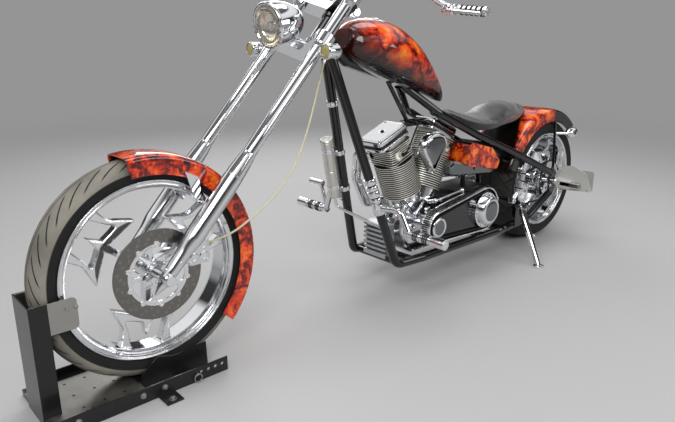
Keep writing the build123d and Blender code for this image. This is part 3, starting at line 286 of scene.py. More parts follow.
def tread(name, centre, radius, half, wall, crown, count):
    """Tyre rubber: curved sipes pressed into a crown of two shades, plain black walls with a few rings."""
    s = Shade(name, rough=0.72, spec=0.3)
    coords = s.object_coords()
    split = s.node("ShaderNodeSeparateXYZ", Vector=coords)
    x = s.math("SUBTRACT", split.outputs["X"], centre[0])
    z = s.math("SUBTRACT", split.outputs["Z"], centre[2])
    y = split.outputs["Y"]
    away = s.math("SQRT", s.math("ADD", s.math("MULTIPLY", x, x), s.math("MULTIPLY", z, z)))
    side = s.math("DIVIDE", s.math("ABSOLUTE", y), half)
    bend = s.math("MULTIPLY", s.math("POWER", side, 1.5), 1.9)
    sway = s.math("MULTIPLY", s.math("SIGN", y), 0.25)
    angle = s.math("MULTIPLY", s.math("ARCTAN2", z, x), count / (2 * pi))
    turn = s.math("ADD", angle, s.math("ADD", bend, sway))
    saw = s.math("ABSOLUTE", s.math("SUBTRACT", s.math("FRACT", turn), 0.5))
    length = s.math("MULTIPLY", s.fade(side, 0.20, 0.30), s.fade(side, 0.90, 0.80))
    sipe = s.math("MULTIPLY", s.fade(saw, 0.085, 0.055), length)
    groove = s.math("MAXIMUM", sipe, s.fade(side, 0.035, 0.02))
    # crown paler than the walls, in two tones mixed by noise
    crown_tone = s.ramp(s.noise(7.0, 6.0, coords), (0.3, crown[0]), (0.7, crown[1]))
    on_wall = s.fade(away, radius - wall, radius - wall - 0.003)
    base = s.mix(on_wall, crown_tone, (0.013, 0.013, 0.014))
    tall = s.math("MULTIPLY", groove, s.math("SUBTRACT", 1.0, on_wall))
    s.link(s.mix(tall, base, (0.014, 0.014, 0.014)), "Base Color")
    rings = s.math("ABSOLUTE", s.math("SINE", s.math("MULTIPLY", away, 420.0)))
    ribs = s.math("MULTIPLY", s.math("MULTIPLY", rings, on_wall), 0.25)
    s.bump(s.math("SUBTRACT", ribs, tall), 0.9, 0.003)
    return s.mat


FRONT_CROWN = ((0.15, 0.142, 0.120), (0.33, 0.310, 0.265))
REAR_CROWN = ((0.024, 0.023, 0.022), (0.045, 0.043, 0.04))
FRONT_TREAD = tread("front_tread", row(FRONT_CENTRE), FRONT_TYRE_R / 1000, FRONT_TYRE_WIDTH / 2000, 0.033,
                    FRONT_CROWN, 36)
REAR_TREAD = tread("rear_tread", row(REAR_CENTRE), REAR_TYRE_R / 1000, REAR_TYRE_WIDTH / 2000, 0.030,
                   REAR_CROWN, 32)


# Mesh building


def band(start, count):
    """Faces between a ring of points and the ring that follows it."""
    pairs = [(start + i, start + (i + 1) % count) for i in range(count)]
    return [(i, j, j + count, i + count) for i, j in pairs]


def sleeve(low, high, inner, outer):
    """Rows of a plain ring for lathe or hoop."""
    return [(low, inner), (low, outer), (high, outer), (high, inner)]


def disc(low, high, r):
    """Rows of a plain disc for lathe, open below."""
    return [(low, r), (high, r), (high, 0)]


class Build:
    """Collects shapes in the design frame, in millimetres, into one joined mesh."""

    def __init__(self):
        self.verts, self.faces, self.slots = [], [], []

    def add(self, verts, faces, slot=0):
        start = len(self.verts)
        self.verts += [Vector(v) for v in verts]
        self.faces += [tuple(start + i for i in f) for f in faces]
        self.slots += [slot] * len(faces)

    def lathe(self, base, axis, rows, segments=32, slot=0, open_ends=False):
        """Rows of (distance along the axis, radius) turned about it; a radius of 0 closes an end."""
        axis = Vector(axis).normalized()
        side = axis.orthogonal().normalized()
        up = axis.cross(side)
        verts, rings = [], []
        for along, radius in rows:
            start = len(verts)
            middle = Vector(base) + axis * along
            if radius <= 1e-6:
                verts.append(middle)
            else:
                verts += [middle + (side * cos(t) + up * sin(t)) * radius for t in turns(segments)]
            rings.append(tuple(range(start, len(verts))))
        faces = []
        for a, b in zip(rings, rings[1:]):
            for i in range(segments):
                j = (i + 1) % segments
                if len(a) == 1 and len(b) == 1:
                    continue
                if len(a) == 1:
                    faces.append((a[0], b[j], b[i]))
                elif len(b) == 1:
                    faces.append((a[i], a[j], b[0]))
                else:
                    faces.append((a[i], a[j], b[j], b[i]))
        if not open_ends:
            faces += [ring for ring in (rings[0][::-1], rings[-1]) if len(ring) > 1]
        self.add(verts, faces, slot)

    def hoop(self, base, axis, rows, segments, slot=0):
        """Solid ring: rows that close on themselves, turned about the axis."""
        self.lathe(base, axis, rows + rows[:1], segments, slot, True)

    def rod(self, p, q, r, segments=16, slot=0, chamfer=0.0):
        p, q = Vector(p), Vector(q)
        length = (q - p).length
        c = min(chamfer, r * 0.6, length * 0.3)
        rows = [(0, r - c), (c, r), (length - c, r), (length, r - c)] if c else [(0, r), (length, r)]
        self.lathe(p, q - p, rows, segments, slot)

    def ball(self, centre, r, segments=20, slot=0):
        steps = 8
        inside = [(-r * cos(pi * i / steps), r * sin(pi * i / steps)) for i in range(1, steps)]
        self.lathe(centre, Z_AXIS, [(-r, 0)] + inside + [(r, 0)], segments, slot)

    def loft(self, rings, slot=0):
        """Closed solid through rings with as many points each."""
        count = len(rings[0])
        last = count * (len(rings) - 1)
        faces = [tuple(reversed(range(count)))]
        for start in range(0, last, count):
            faces += band(start, count)
        faces.append(tuple(range(last, last + count)))
        self.add([p for ring in rings for p in ring], faces, slot)

    def stack(self, outline, origin, u, v, rows, slot=0):
        """Closed solid from an outline in the plane of u and v: rows of (distance along u x v, inset)."""
        u, v = Vector(u).normalized(), Vector(v).normalized()
        n = u.cross(v)
        rings = []
        for depth, inset in rows:
            points = shrink(outline, inset) if inset else outline
            rings.append([Vector(origin) + u * a + v * b + n * depth for a, b in points])
        self.loft(rings, slot)

    def prism(self, outline, origin, u, v, thickness, slot=0, bevel=0.0, face_slot=None):
        """Plate with an outline in the plane of u and v, thick along u x v, with a bevel on both faces."""
        first = len(self.slots)
        bevelled = [(0, bevel), (bevel, 0), (thickness - bevel, 0), (thickness, bevel)]
        self.stack(outline, origin, u, v, bevelled if bevel else [(0, 0), (thickness, 0)], slot)
        if face_slot is not None:
            self.slots[first] = self.slots[-1] = face_slot

    def tube(self, points, r, segments=12, slot=0, bend=0.0):
        """Round tube along points, its corners rounded by the given radius."""
        path = rounded_path(points, bend)
        rings, side = [], None
        for i, p in enumerate(path):
            t = (path[min(i + 1, len(path) - 1)] - path[max(i - 1, 0)]).normalized()
            side = (side - t * side.dot(t)).normalized() if i else t.orthogonal().normalized()
            up = t.cross(side)
            rings.append([p + (side * cos(a) + up * sin(a)) * r for a in turns(segments)])
        self.loft(rings, slot)

    def bolt(self, p, axis, r=5.0, height=5.0, slot=0):
        """Hexagon head on a thin washer, a little sunk so that it sits on its face."""
        axis = Vector(axis).normalized()
        p = Vector(p) - axis * 0.5
        self.lathe(p, axis, disc(0, 1.5, r * 1.35), 20, slot)
        head = [(1.5, r), (height + 0.5, r), (height + 1.5, r * 0.8), (height + 1.5, 0)]
        self.lathe(p, axis, head, 6, slot)

    def cap_screw(self, p, axis, r=4.0, height=4.0, slot=0):
        """Round socket screw head."""
        axis = Vector(axis).normalized()
        rows = [(0, r), (height, r), (height + 0.6, r * 0.85), (height + 0.6, r * 0.5),
                (height - 1.4, r * 0.5), (height - 1.4, 0)]
        self.lathe(Vector(p) - axis * 0.5, axis, rows, 14, slot)

    def done(self, name, materials, body, replaces=(), slot=None, smooth=35.0):
        """Turn the shapes into one object that rides on a body, and hide the CAD nodes it replaces."""
        mesh = bpy.data.meshes.new(name)
        mesh.from_pydata([row(v) for v in self.verts], [], self.faces)
        mesh.update()
        bm = bmesh.new()
        bm.from_mesh(mesh)
        bmesh.ops.recalc_face_normals(bm, faces=bm.faces)
        bm.to_mesh(mesh)
        bm.free()
        for m in materials:
            mesh.materials.append(m)
        for polygon, index in zip(mesh.polygons, self.slots):
            polygon.material_index = index
            polygon.use_smooth = True
        obj = new_object(name, mesh)
        mesh.set_sharp_from_angle(angle=radians(smooth))
        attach(obj, body)
        if replaces:
            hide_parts(*replaces)


def new_object(name, data):
    obj = bpy.data.objects.new(name, data)
    bpy.context.scene.collection.objects.link(obj)
    return obj


def shrink(outline, distance):
    """Outline moved inwards by a distance, for a counter-clockwise or clockwise ring."""
    count = len(outline)
    area = sum(outline[i][0] * outline[(i + 1) % count][1] - outline[(i + 1) % count][0] * outline[i][1]
               for i in range(count))
    way = 1 if area > 0 else -1
    result = []
    for i in range(count):
        a, b, c = Vector(outline[i - 1]), Vector(outline[i]), Vector(outline[(i + 1) % count])
        d1, d2 = (b - a).normalized(), (c - b).normalized()
        n1, n2 = Vector((-d1.y, d1.x)) * way, Vector((-d2.y, d2.x)) * way
        m = n1 + n2
        scale = distance / max(m.length_squared / 2, 0.35)
        p = b + m * scale
        result.append((p.x, p.y))
    return result


def rounded_path(points, bend, steps=5):
    """Points with each corner replaced by an arc of the given radius."""
    points = [Vector(p) for p in points]
    if not bend or len(points) < 3:
        return points
    path = [points[0]]
    for a, b, c in zip(points, points[1:], points[2:]):
        d1, d2 = (a - b).normalized(), (c - b).normalized()
        angle = d1.angle(d2)
        if angle > 3.05:
            path.append(b)
            continue
        cut = min(bend / tan(angle / 2), (a - b).length * 0.45, (c - b).length * 0.45)
        start, end = b + d1 * cut, b + d2 * cut
        for i in range(steps + 1):
            t = i / steps
            path.append(start * (1 - t) ** 2 + b * 2 * t * (1 - t) + end * t ** 2)
    path.append(points[-1])
    return path


# CAD nodes that keep their shape get their finish
FINISH = (
    (CHROME, "front_axle handlebar exhausts foot_controls rear_axle hand_levers tank_cap pushrod_tubes "
             "gearbox_pulley fender_brackets air_cleaner"),
    (POLISHED, "lower_tree upper_tree front_caliper rear_caliper rear_rotor rear_pulley crankcase"),
    (FROSTED, "plate_bracket"),
    (SATIN, "regulator_box"),
    (DARK_METAL, "transmission"),
    (BLACK_PAINT, "backbone downtubes lower_rails upper_stays axle_plates cross_members engine_mount"),
    (BLACK_SATIN, "chock_post chock_base"),
    (STEEL, "chock_pan chock_head"),
    (RUBBER, "final_belt primary_belt"),
    (TANK_ART, "fuel_tank"),
    (OIL_ART_AND_PAINTED_REFLECTION, "oil_tank"),
    (PALE_PLATE, "number_plate"),
)
for material, names in FINISH:
    for name in names.split():
        nodes[name].data.materials.clear()
        nodes[name].data.materials.append(material)


# Outlines


def rounded_rect(x0, x1, y0, y1, r, steps=5):
    """Rectangle with round corners, counter-clockwise."""
    points = []
    corners = ((x1 - r, y1 - r, 0), (x0 + r, y1 - r, 90), (x0 + r, y0 + r, 180), (x1 - r, y0 + r, 270))
    for cx, cy, start in corners:
        for i in range(steps + 1):
            t = radians(start + 90 * i / steps)
            points.append((cx + r * cos(t), cy + r * sin(t)))
    return points


def hull_outline(ends, inset=0.0, steps=28):
    """Outline round two circles (x, z, radius), counter-clockwise, moved inwards by inset."""
    (x0, z0, r0), (x1, z1, r1) = ends
    r0, r1 = r0 - inset, r1 - inset
    gap = sqrt((x1 - x0) ** 2 + (z1 - z0) ** 2)
    along = atan2(z1 - z0, x1 - x0)
    lean = acos((r0 - r1) / gap)
    points = []
    arcs = ((x0, z0, r0, along + lean, along - lean + 2 * pi), (x1, z1, r1, along - lean, along + lean))
    for x, z, r, start, end in arcs:
        for i in range(steps + 1):
            t = start + (end - start) * i / steps
            points.append((x + r * cos(t), z + r * sin(t)))
    return points


def smooth_outline(points, steps=4, sharp=()):
    """Closed outline with the corners between points curved, except those named in sharp."""
    count = len(points)
    result = []
    for i in range(count):
        p0, p1, p2, p3 = (Vector(points[(i + k) % count]) for k in (-1, 0, 1, 2))
        if i in sharp:
            p0 = p1
        if (i + 1) % count in sharp:
            p3 = p2
        for k in range(steps):
            t = k / steps
            a = p1 * 2 + (p2 - p0) * t + (p0 * 2 - p1 * 5 + p2 * 4 - p3) * t * t
            a += (p1 * 3 - p0 - p2 * 3 + p3) * t ** 3
            result.append((a.x / 2, a.y / 2))
    return result


# Wheels
# Half of a spoke's outline, as shares of the rim's radius: along the spoke and across it
THORN = [(0.41, 0.040), (0.60, 0.048), (0.470, 0.435), (0.63, 0.355), (0.755, 0.300), (0.965, 0.325),
         (1.01, 0.185), (0.865, 0.215), (0.745, 0.240), (0.64, 0.262), (0.685, 0.055), (0.86, 0.0)]


def thorn_outline(hub_r, rim_r):
    """Barbed spoke with two hooked thorns; the tips stay sharp and the flanks curve."""
    half = [(hub_r, 0.05 * rim_r)] + [(a * rim_r, b * rim_r) for a, b in THORN]
    ring = half + [(a, -b) for a, b in reversed(half[:-1])]
    last = len(ring) - 1
    tips = {0, 2, 3, 6, 7, 11, 12, last, last - 2, last - 3, last - 6, last - 7, last - 11}
    return smooth_outline(ring, 4, tips)


def wheel_piece(name, centre, rim_r, rim_w, hub_r, hub_half, spoke_t, bore_r, body):
    """Stepped rim, three thorn spokes and a hub that is bored through for its axle."""
    b = Build()
    half = rim_w / 2
    inward = ((0, 0), (0, 4), (3, 6), (3, 11), (1, 12.5), (1, 15.5), (9, 18), (9, 21), (15, 22.5), (22, 27))
    steps = [(half - y, rim_r - r) for y, r in inward]
    outer = [(half - y, rim_r - r) for y, r in ((5, 0), (9, 12), (26, 21))]
    rows = outer[::-1] + steps + [(-y, r) for y, r in steps[::-1] + outer]
    b.hoop(centre, Y_AXIS, rows, 160)
    outline = thorn_outline(hub_r - 4, rim_r - 27)
    for i in range(3):
        u = radial(radians(37 + 120 * i))
        b.prism(outline, centre + Y_AXIS * (spoke_t / 2), u, u.cross(Y_AXIS), spoke_t, 0, 2.5)
    hub = [(0, bore_r), (0, hub_r * 0.62), (4, hub_r * 0.7), (10, hub_r * 0.7), (14, hub_r), (40, hub_r),
           (46, hub_r * 0.86)]
    rows = [(y - hub_half, r) for y, r in hub] + [(hub_half - y, r) for y, r in reversed(hub)]
    b.hoop(centre, Y_AXIS, rows, 64)
    b.done(name, [WHEEL_CHROME], body, (name.replace("_rim", "_wheel"),), "polished", 32)


wheel_piece("front_rim", FRONT_CENTRE, FRONT_RIM_R, FRONT_RIM_WIDTH, 34, 74, 34, 10.6, FRONT_BODY)
wheel_piece("rear_rim", REAR_CENTRE, REAR_RIM_R, REAR_RIM_WIDTH, 42, 118, 60, 13.1, REAR_BODY)


def front_disc():
    """Dark drilled ring on a bright carrier with round floating buttons."""
    b = Build()
    centre, face = FRONT_CENTRE, FRONT_CENTRE + Y_AXIS * 82.5
    ring = [(77.5, 98), (77.5, 141.5), (78, 142), (82, 142), (82.5, 141.5), (82.5, 98)]
    b.hoop(centre, Y_AXIS, ring, 120)
    hole = [(-1, 4.2), (0.25, 4.2), (0.25, 3.4), (-0.4, 3.4), (-0.4, 0)]
    for k, r in enumerate((108, 119, 130)):
        for t in turns(20, k / 3):
            b.lathe(face + radial(t, r), Y_AXIS, hole, 12, 2)
    b.hoop(centre, Y_AXIS, [(74, 12), (74, 40), (79, 40), (79, 34), (82.5, 32), (82.5, 12)], 64, 1)
    b.hoop(centre, Y_AXIS, [(77.6, 86), (77.6, 99), (82.4, 99), (82.4, 86)], 96, 1)
    arm = [(34, -15), (48, -8), (74, -7), (90, -17), (90, 17), (74, 7), (48, 8), (34, 15)]
    for t in turns(5):
        u = radial(t)
        b.prism(smooth_outline(arm, 3), face, u, u.cross(Y_AXIS), 5, 1, 1)
        b.cap_screw(centre + u * 37 + Y_AXIS * 82.5, Y_AXIS, 4.5, 3.5, 1)
    for t in turns(10, 0.5):
        button = [(0, 0), (0, 8), (7, 8), (7, 5), (6.2, 4.6), (6.2, 0)]
        b.lathe(centre + Vector((98 * cos(t), 76.6, 98 * sin(t))), Y_AXIS, button, 20, 1)
    b.done("front_disc", [DARK_STEEL, CHROME, STEEL], FRONT_BODY, ("front_rotor",), "polished", 32)


front_disc()


def rear_hub_dress():
    """Bolts, drillings drawn as flat black discs (painted shade in the holes) and edge rings on the rear
    pulley and disc.
    """
    b = Build()
    pulley, rotor = REAR_CENTRE + Y_AXIS * 134, REAR_CENTRE - Y_AXIS * 124
    for t in turns(8):
        b.cap_screw(pulley + radial(t) * 58, Y_AXIS, 5, 4)
        # holes in the disc: flat black discs, painted shade
        b.lathe(rotor + radial(t) * 108, -Y_AXIS, disc(-1, 0.3, 9), 16, 1)
        b.lathe(rotor + radial(t) * 124, -Y_AXIS, disc(-1, 0.3, 5), 12, 1)
    # holes in the pulley: flat black discs, painted shade
    for t in turns(6, 0.5):
        b.lathe(pulley + radial(t) * 44, Y_AXIS, disc(-1, 0.3, 8), 16, 1)
    for y in (126, 139.4):
        b.hoop(REAR_CENTRE, Y_AXIS, sleeve(y - 0.8, y + 0.8, 97, 98.5), 96)
    b.done("rear_hub_dress", [CHROME, BLACK_SATIN], REAR_BODY)


rear_hub_dress()


# Fork, lamps and bars


def fork_legs():
    """Sliders, upper tubes and the screws and collars of both trees."""
    lower, upper, b = Build(), Build(), Build()
    rows = [(-58, 0), (-58, 3), (-33, 12), (-8, 20), (40, 21.6), (88, 23), (104, 24.6), (124, 28.6),
            (140, 30.6), (146, 31), (360, 31), (366, 30.7), (366.5, 29.5), (370, 29.5), (370.5, 30.4),
            (410, 27.6), (440, 25.2), (452, 24.4), (456, 23.6), (456, 0)]
    top = UPPER_TREE_S + 26
    tube = [(455, 0), (455, 22), (top - 3, 22), (top, 20), (top + 4, 17), (top + 4, 12), (top + 6, 12),
            (top + 6, 0)]
    for side in SIDES:
        y = side * FORK_HALF
        lower.lathe(fork_point(0, y), FORK_UP, rows, 64)
        upper.lathe(fork_point(0, y), FORK_UP, tube, 64)
        for s in (-22, 22):
            lower.cap_screw(fork_point(s, y, 20), FORK_AHEAD, 4.5, 5)
        lower.cap_screw(fork_point(60, y + side * 22, 0), (0, side, 0), 4, 3)
        lower.rod(fork_point(0, y - side * 24), fork_point(0, y + side * 25), 19, 32, 0, 2)
    for s, thickness in ((LOWER_TREE_S, 42), (UPPER_TREE_S, 34)):
        collar = s + thickness / 2
        for side in SIDES:
            for step in (-9, 9):
                b.cap_screw(fork_point(s + step, side * (FORK_HALF + 12), -32), -FORK_AHEAD, 4.5, 4)
            rows = [(collar - 1, 33), (collar + 2, 32), (collar + 2, 22), (collar - 1, 22)]
            b.lathe(fork_point(0, side * FORK_HALF), FORK_UP, rows, 48, 0, True)
    stem = [(1116, 0), (1116, 22), (1126, 22), (1130, 17), (1132, 8), (1132, 0)]
    b.lathe(fork_point(0, 0, -65), FORK_UP, stem, 6)
    lower.done("fork_lower_legs", [POLISHED], FORK_BODY, ("fork_sliders",), "polished", 40)
    upper.done("fork_upper_legs", [CHROME], FORK_BODY, ("fork_tubes",), "chrome", 40)
    b.done("tree_bolts", [CHROME], FORK_BODY)


fork_legs()


def headlight():
    """Bullet shell, screwed bezel, warm reflector with its bulb shield, and domed glass."""
    face = Vector((HEAD_X + 240, 0, HEAD_Z + 27))
    back = Vector((-0.985, 0, 0.17)).normalized()
    up = back.cross(Y_AXIS).normalized()
    b = Build()
    shell = [(9, 66), (1, 68), (0, 71), (1.5, 75), (5, 77.6), (9, 78), (12.5, 77.2), (14, 75.6), (15, 75.6),
             (30, 76), (52, 73.6), (78, 67.6), (100, 58.6), (120, 47.2), (136, 34), (146, 23), (152, 11),
             (154, 0)]
    b.lathe(face, back, shell, 72, 0, True)
    b.lathe(face, back, [(8, 67), (16, 63), (28, 50), (37, 30), (40, 12), (40, 0)], 72, 1, True)
    b.lathe(face, back, [(14, 0), (16, 10), (22, 13), (30, 13), (34, 9), (40, 9)], 28, 0, True)
    b.lathe(face, back, [(7.6, 66.8), (5.4, 50), (3.6, 28), (3, 0)], 56, 2, True)
    for t in turns(24):
        b.ball(face + (Y_AXIS * cos(t) + up * sin(t)) * 72.5 + back * 1.0, 2.6, 8, 3)
    stalk = (HEAD_X + 156, 0, HEAD_Z + 3)
    b.rod(fork_point(LOWER_TREE_S + 4, 0, -24), stalk, 10, 24)
    b.ball(stalk, 14)
    for side in (Y_AXIS, -Y_AXIS):
        b.bolt(face + back * 52 + side * 73, side, 4, 3)
    skins = [CHROME, REFLECTOR, GLASS, DARK_METAL]
    b.done("headlight_bullet", skins, FORK_BODY, ("headlight",), "chrome", 35)


headlight()


def lamps():
    """Turn signals on the fork and lamps beside the rear mudguard."""
    b = Build()
    x, _, z = fork_point(872)
    body = [(0, 0), (0, 6), (3, 11), (9, 17), (16, 22), (24, 25), (56, 25), (57, 26), (66, 26), (69, 24),
            (70, 21.5), (64, 21.5), (60, 0)]
    for side in SIDES:
        base = Vector((x - 36, side * 208, z))
        b.rod((x, side * 128, z), (x, side * 200, z), 7, 20)
        b.lathe((x, side * 128, z), (0, side, 0), [(26, 10), (30, 12), (36, 12), (40, 8)], 20)
        b.lathe(base, X_AXIS, body, 40)
        b.lathe(base, X_AXIS, [(65, 21.8), (69, 19), (71.5, 11), (72, 0)], 32, 1)
    b.done("front_lamps", [CHROME, GREEN_AMBER], FORK_BODY, ("front_signals",), "chrome", 40)
    b = Build()
    z = REAR_AXLE_Z + 238
    body = [(6, 0), (2, 20), (0, 21), (0, 23.5), (3, 25), (8, 25.5), (46, 25), (58, 21), (68, 14), (74, 6),
            (74, 0)]
    for side in SIDES:
        base = Vector((-182, side * 164, z))
        b.lathe(base, X_AXIS, body, 40)
        b.lathe(base, X_AXIS, [(3, 20.5), (-1, 15), (-3, 8), (-3.5, 0)], 32, 1)
        b.rod((-112, side * 164, z), (-30, side * 130, z + 6), 7, 20)
        b.lathe((-150, side * 164, z), (0, side, 0), [(20, 9), (25.5, 9), (28, 6), (28, 0)], 24, 2)
    b.done("rear_lamps", [CHROME, RED_LENS, BLACK_SATIN], FRAME_BODY, ("rear_signals",), "chrome", 40)


lamps()


def bars():
    """Grips with rubber rings, switch clamps and fluid reservoirs."""
    b, c = Build(), Build()
    for side in SIDES:
        tip = Vector((HEAD_X - 427, side * 402, HEAD_Z + 79))
        root = Vector((HEAD_X - 404, side * 252, HEAD_Z + 93))
        start = tip + (root - tip) * 0.8
        axis = tip - start
        length = axis.length
        rows = [(0, 13.1), (0, 18), (3, 19), (7, 19), (9, 16.6)]
        rows += [(length - 16, 16.6), (length - 14, 19), (length - 4, 19), (length, 16), (length, 13.1)]
        b.hoop(start, axis, rows, 40)
        for i in range(5):
            at = 16 + i * (length - 44) / 4
            b.lathe(start, axis, [(at, 16), (at + 1, 18), (at + 9, 18), (at + 10, 16)], 32, 1, True)
        clamp = root + (tip - root) * 0.1
        ahead = Vector((44, 0, -6))
        cup = clamp + ahead * 0.72
        way = axis.normalized()
        for back, r, wide in ((9, 19, 20.5), (34, 17, 18)):
            c.lathe(clamp - way * back, way, [(0, 0), (0, r), (2, wide), (16, wide), (18, r), (18, 0)], 32)
        c.lathe(cup - way * 24, way, [(0, 0), (0, 12), (3, 14), (44, 14), (48, 11), (48, 0)], 28)
        c.lathe(cup + Z_AXIS * 6, Z_AXIS, [(0, 0), (0, 17), (14, 17), (17, 15), (17, 0)], 32)
        c.cap_screw(cup + Z_AXIS * 23, Z_AXIS, 4, 2)
        c.lathe(clamp + ahead, Z_AXIS, [(-12, 0), (-12, 8), (12, 8), (12, 0)], 24)
    b.done("ringed_grips", [CHROME, RUBBER], FORK_BODY, ("hand_grips",), "grip_rubber", 32)
    for side in SIDES:
        foot, top = fork_point(1117, side * 72, -40), fork_point(1192, side * 72, -40)
        c.lathe(foot, FORK_UP, [(0, 19), (8, 19), (12, 16.5), (12, 0)], 36)
        c.lathe(top - Y_AXIS * 16, Y_AXIS, sleeve(0, 32, 12, 19), 36)
        c.cap_screw(top + FORK_UP * 17, FORK_UP, 4.5, 4)
    c.done("bar_controls", [CHROME], FORK_BODY)


bars()


# Mudguards


def mudguard(name, centre, radius, half, crown, skirt, start, end, material, body, replaced, extra=None):
    """Smooth shell over a tyre: arched crown, straight skirts with a rolled edge."""
    outer = [(half, radius - skirt), (half, radius - skirt + 6), (half, radius - crown - 6)]
    for i in range(9):
        t = pi / 2 * i / 8
        outer.append((half * cos(t) ** 0.45 if i < 8 else 0, radius - crown + crown * sin(t) ** 0.8))
    outer = outer + [(-y, r) for y, r in reversed(outer[:-1])]
    wall = 4.0
    inner = [(y * (half - wall) / half, r - wall if abs(y) < half - 0.5 else r) for y, r in reversed(outer)]
    loop = outer + inner
    count, steps = len(loop), 56
    x, _, z = centre
    b = Build()
    verts, faces = [], []
    for i in range(steps + 1):
        t = radians(start + (end - start) * i / steps)
        verts += [(x + r * cos(t), y, z + r * sin(t)) for y, r in loop]
    for i in range(steps):
        faces += band(i * count, count)
    for base in (0, steps * count):
        for k in range(len(outer) - 1):
            faces.append((base + k, base + k + 1, base + count - 2 - k, base + count - 1 - k))
    b.add(verts, faces)
    roll = radius - skirt + 1.5
    arc = [radians(start + (end - start) * i / 40) for i in range(41)]
    for side in SIDES:
        b.tube([(x + roll * cos(t), side * (half - 1.5), z + roll * sin(t)) for t in arc], 3.2, 8)
    if extra:
        extra(b)
    b.done(name, [material, BLACK_PAINT] if extra else [material], body, (replaced,), "body_paint", 40)


def struts(b):
    """Black stays from the axle plates to the rear mudguard."""
    for side in SIDES:
        b.rod((4, side * 165, REAR_AXLE_Z + 56), (-44, side * 127, 640), 7, 20, 1)


mudguard("front_mudguard", FRONT_CENTRE, 364, 69, 18, 62, 80, 223, FRONT_ART, FORK_BODY, "front_fender")
mudguard("rear_mudguard", REAR_CENTRE, 372, 129, 16, 66, 16, 132, REAR_ART, FRAME_BODY, "rear_fender", struts)


# Engine


def cylinder_axes(lean):
    """Forward and outward directions of a cylinder that leans by an angle."""
    u = radial(-radians(lean))
    return u, u.cross(Y_AXIS)


PLUG_AXIS = Vector((0, 0.93, 0.37))


def plug_place(lean, way):
    """Seat of a cylinder's spark plug."""
    u, n = cylinder_axes(lean)
    return CRANK + n * 352 + u * way * 22 + Y_AXIS * 54


def clipped(outline, lean, s):
    """Fin outline kept off the other cylinder and flat beside the pushrods."""
    a = radians(abs(lean))
    limit = (1.2 - s * sin(a)) / cos(a)
    way = 1 if lean > 0 else -1
    result = []
    for x, y in outline:
        p = (way * max(way * x, limit), max(y, -70.5))
        if not result or abs(p[0] - result[-1][0]) + abs(p[1] - result[-1][1]) > 0.01:
            result.append(p)
    return result


def cylinders():
    """Two finned cylinders with square heads, spark plugs and stepped rocker lids."""
    b, lids = Build(), Build()
    circle = [(FIN_R * cos(t), FIN_R * sin(t)) for t in turns(56)]
    for way in SIDES:
        lean = way * CYLINDER_ANGLE
        u, n = cylinder_axes(lean)
        core = clipped([(0.70 * x, 0.70 * y) for x, y in circle], lean, 160)
        b.prism(core, CRANK + n * 160, u, Y_AXIS, 165, 1)
        b.prism(rounded_rect(-58, 58, -56, 56, 18), CRANK + n * 325, u, Y_AXIS, 80)
        s = 162.0
        while s < 402:
            fin = circle
            if s >= 322:
                inset = 6 * abs(sin((s - 320) / 80 * pi))
                fin = rounded_rect(-73 + inset, 73 - inset, -70, 70 - inset, 22)
            b.prism(clipped(fin, lean, s), CRANK + n * s, u, Y_AXIS, FIN_THICKNESS, 0, 0.4, 1)
            s += FIN_PITCH
        rows = [(0, 24), (10, 22), (14, 16), (14, 9), (26, 8), (26, 5), (34, 5), (34, 0)]
        b.lathe(plug_place(lean, way), PLUG_AXIS, rows, 28)
        for x, y in ((-60, 48), (60, 48), (-60, -48), (60, -48)):
            b.bolt(CRANK + n * 318 + u * x + Y_AXIS * y, n, 6, 8)
        full = rounded_rect(-81, 97, -74, 54, 16)
        layers = [(full, 405, 12, 0, 2), (shrink(full, 4), 416.5, 13, 1, 0)]
        layers += [(shrink(full, 3), 418.5 + 3.6 * k, 1.6, 1, 0) for k in range(3)]
        layers += [(full, 429, 22.5, 0, 4), (shrink(full, 12), 451, 1.6, 0, 0.8)]
        for outline, s, thickness, slot, bevel in layers:
            lids.prism(outline, CRANK + n * s, u, Y_AXIS, thickness, slot, bevel)
        boss = CRANK + n * 452.4 + u * 8 + Y_AXIS * -10
        lids.lathe(boss, n, [(-2, 15), (0.5, 15), (0.8, 13), (-0.6, 11), (-0.6, 0)], 28)
        lids.bolt(CRANK + n * 452.2 + u * 8 + Y_AXIS * -10, n, 7, 5, 2)
        for x, y in ((-66, 39), (82, 39), (-66, -59), (82, -59)):
            lids.cap_screw(CRANK + n * 452.4 + u * x + Y_AXIS * y, n, 5, 4)
    b.done("fin_stacks", [FIN_METAL, FIN_FACE], FRAME_BODY, ("cylinders",), "engine_metal", 35)
    lids.done("rocker_lids", [CHROME, BLACK_SATIN, DARK_METAL], FRAME_BODY, ("rocker_boxes",), "chrome", 35)


cylinders()


def horn():
    """Domed shield in a bright frame, pointed at the bottom."""
    shield = [(-101, 323), (-97, 373), (-69, 394), (-24, 400), (19, 390), (45, 360), (43, 318), (-23, 229)]
    outline = smooth_outline([(CRANK_X + x, CRANK_Z + z) for x, z in reversed(shield)], 5, {0})
    b = Build()
    back = [(0, 2), (0.5, 0), (26, 0), (31, 1.6), (35, 5), (37, 9), (36, 12), (35.5, 14)]
    dome = [(0, 0), (2.5, 1), (4.6, 6), (5.4, 14)]
    flipped = [(z, x) for x, z in outline]
    b.stack(flipped, (0, 74, 0), Z_AXIS, X_AXIS, back)
    b.stack(shrink(flipped, 14), (0, 108, 0), Z_AXIS, X_AXIS, dome, 1)
    b.rod(crank(-26, 0, 305), crank(-26, 80, 305), 8, 20)
    b.done("horn_shield", [CHROME, DARK_CHROME], FRAME_BODY, ("horn_cover",), "chrome", 35)


horn()


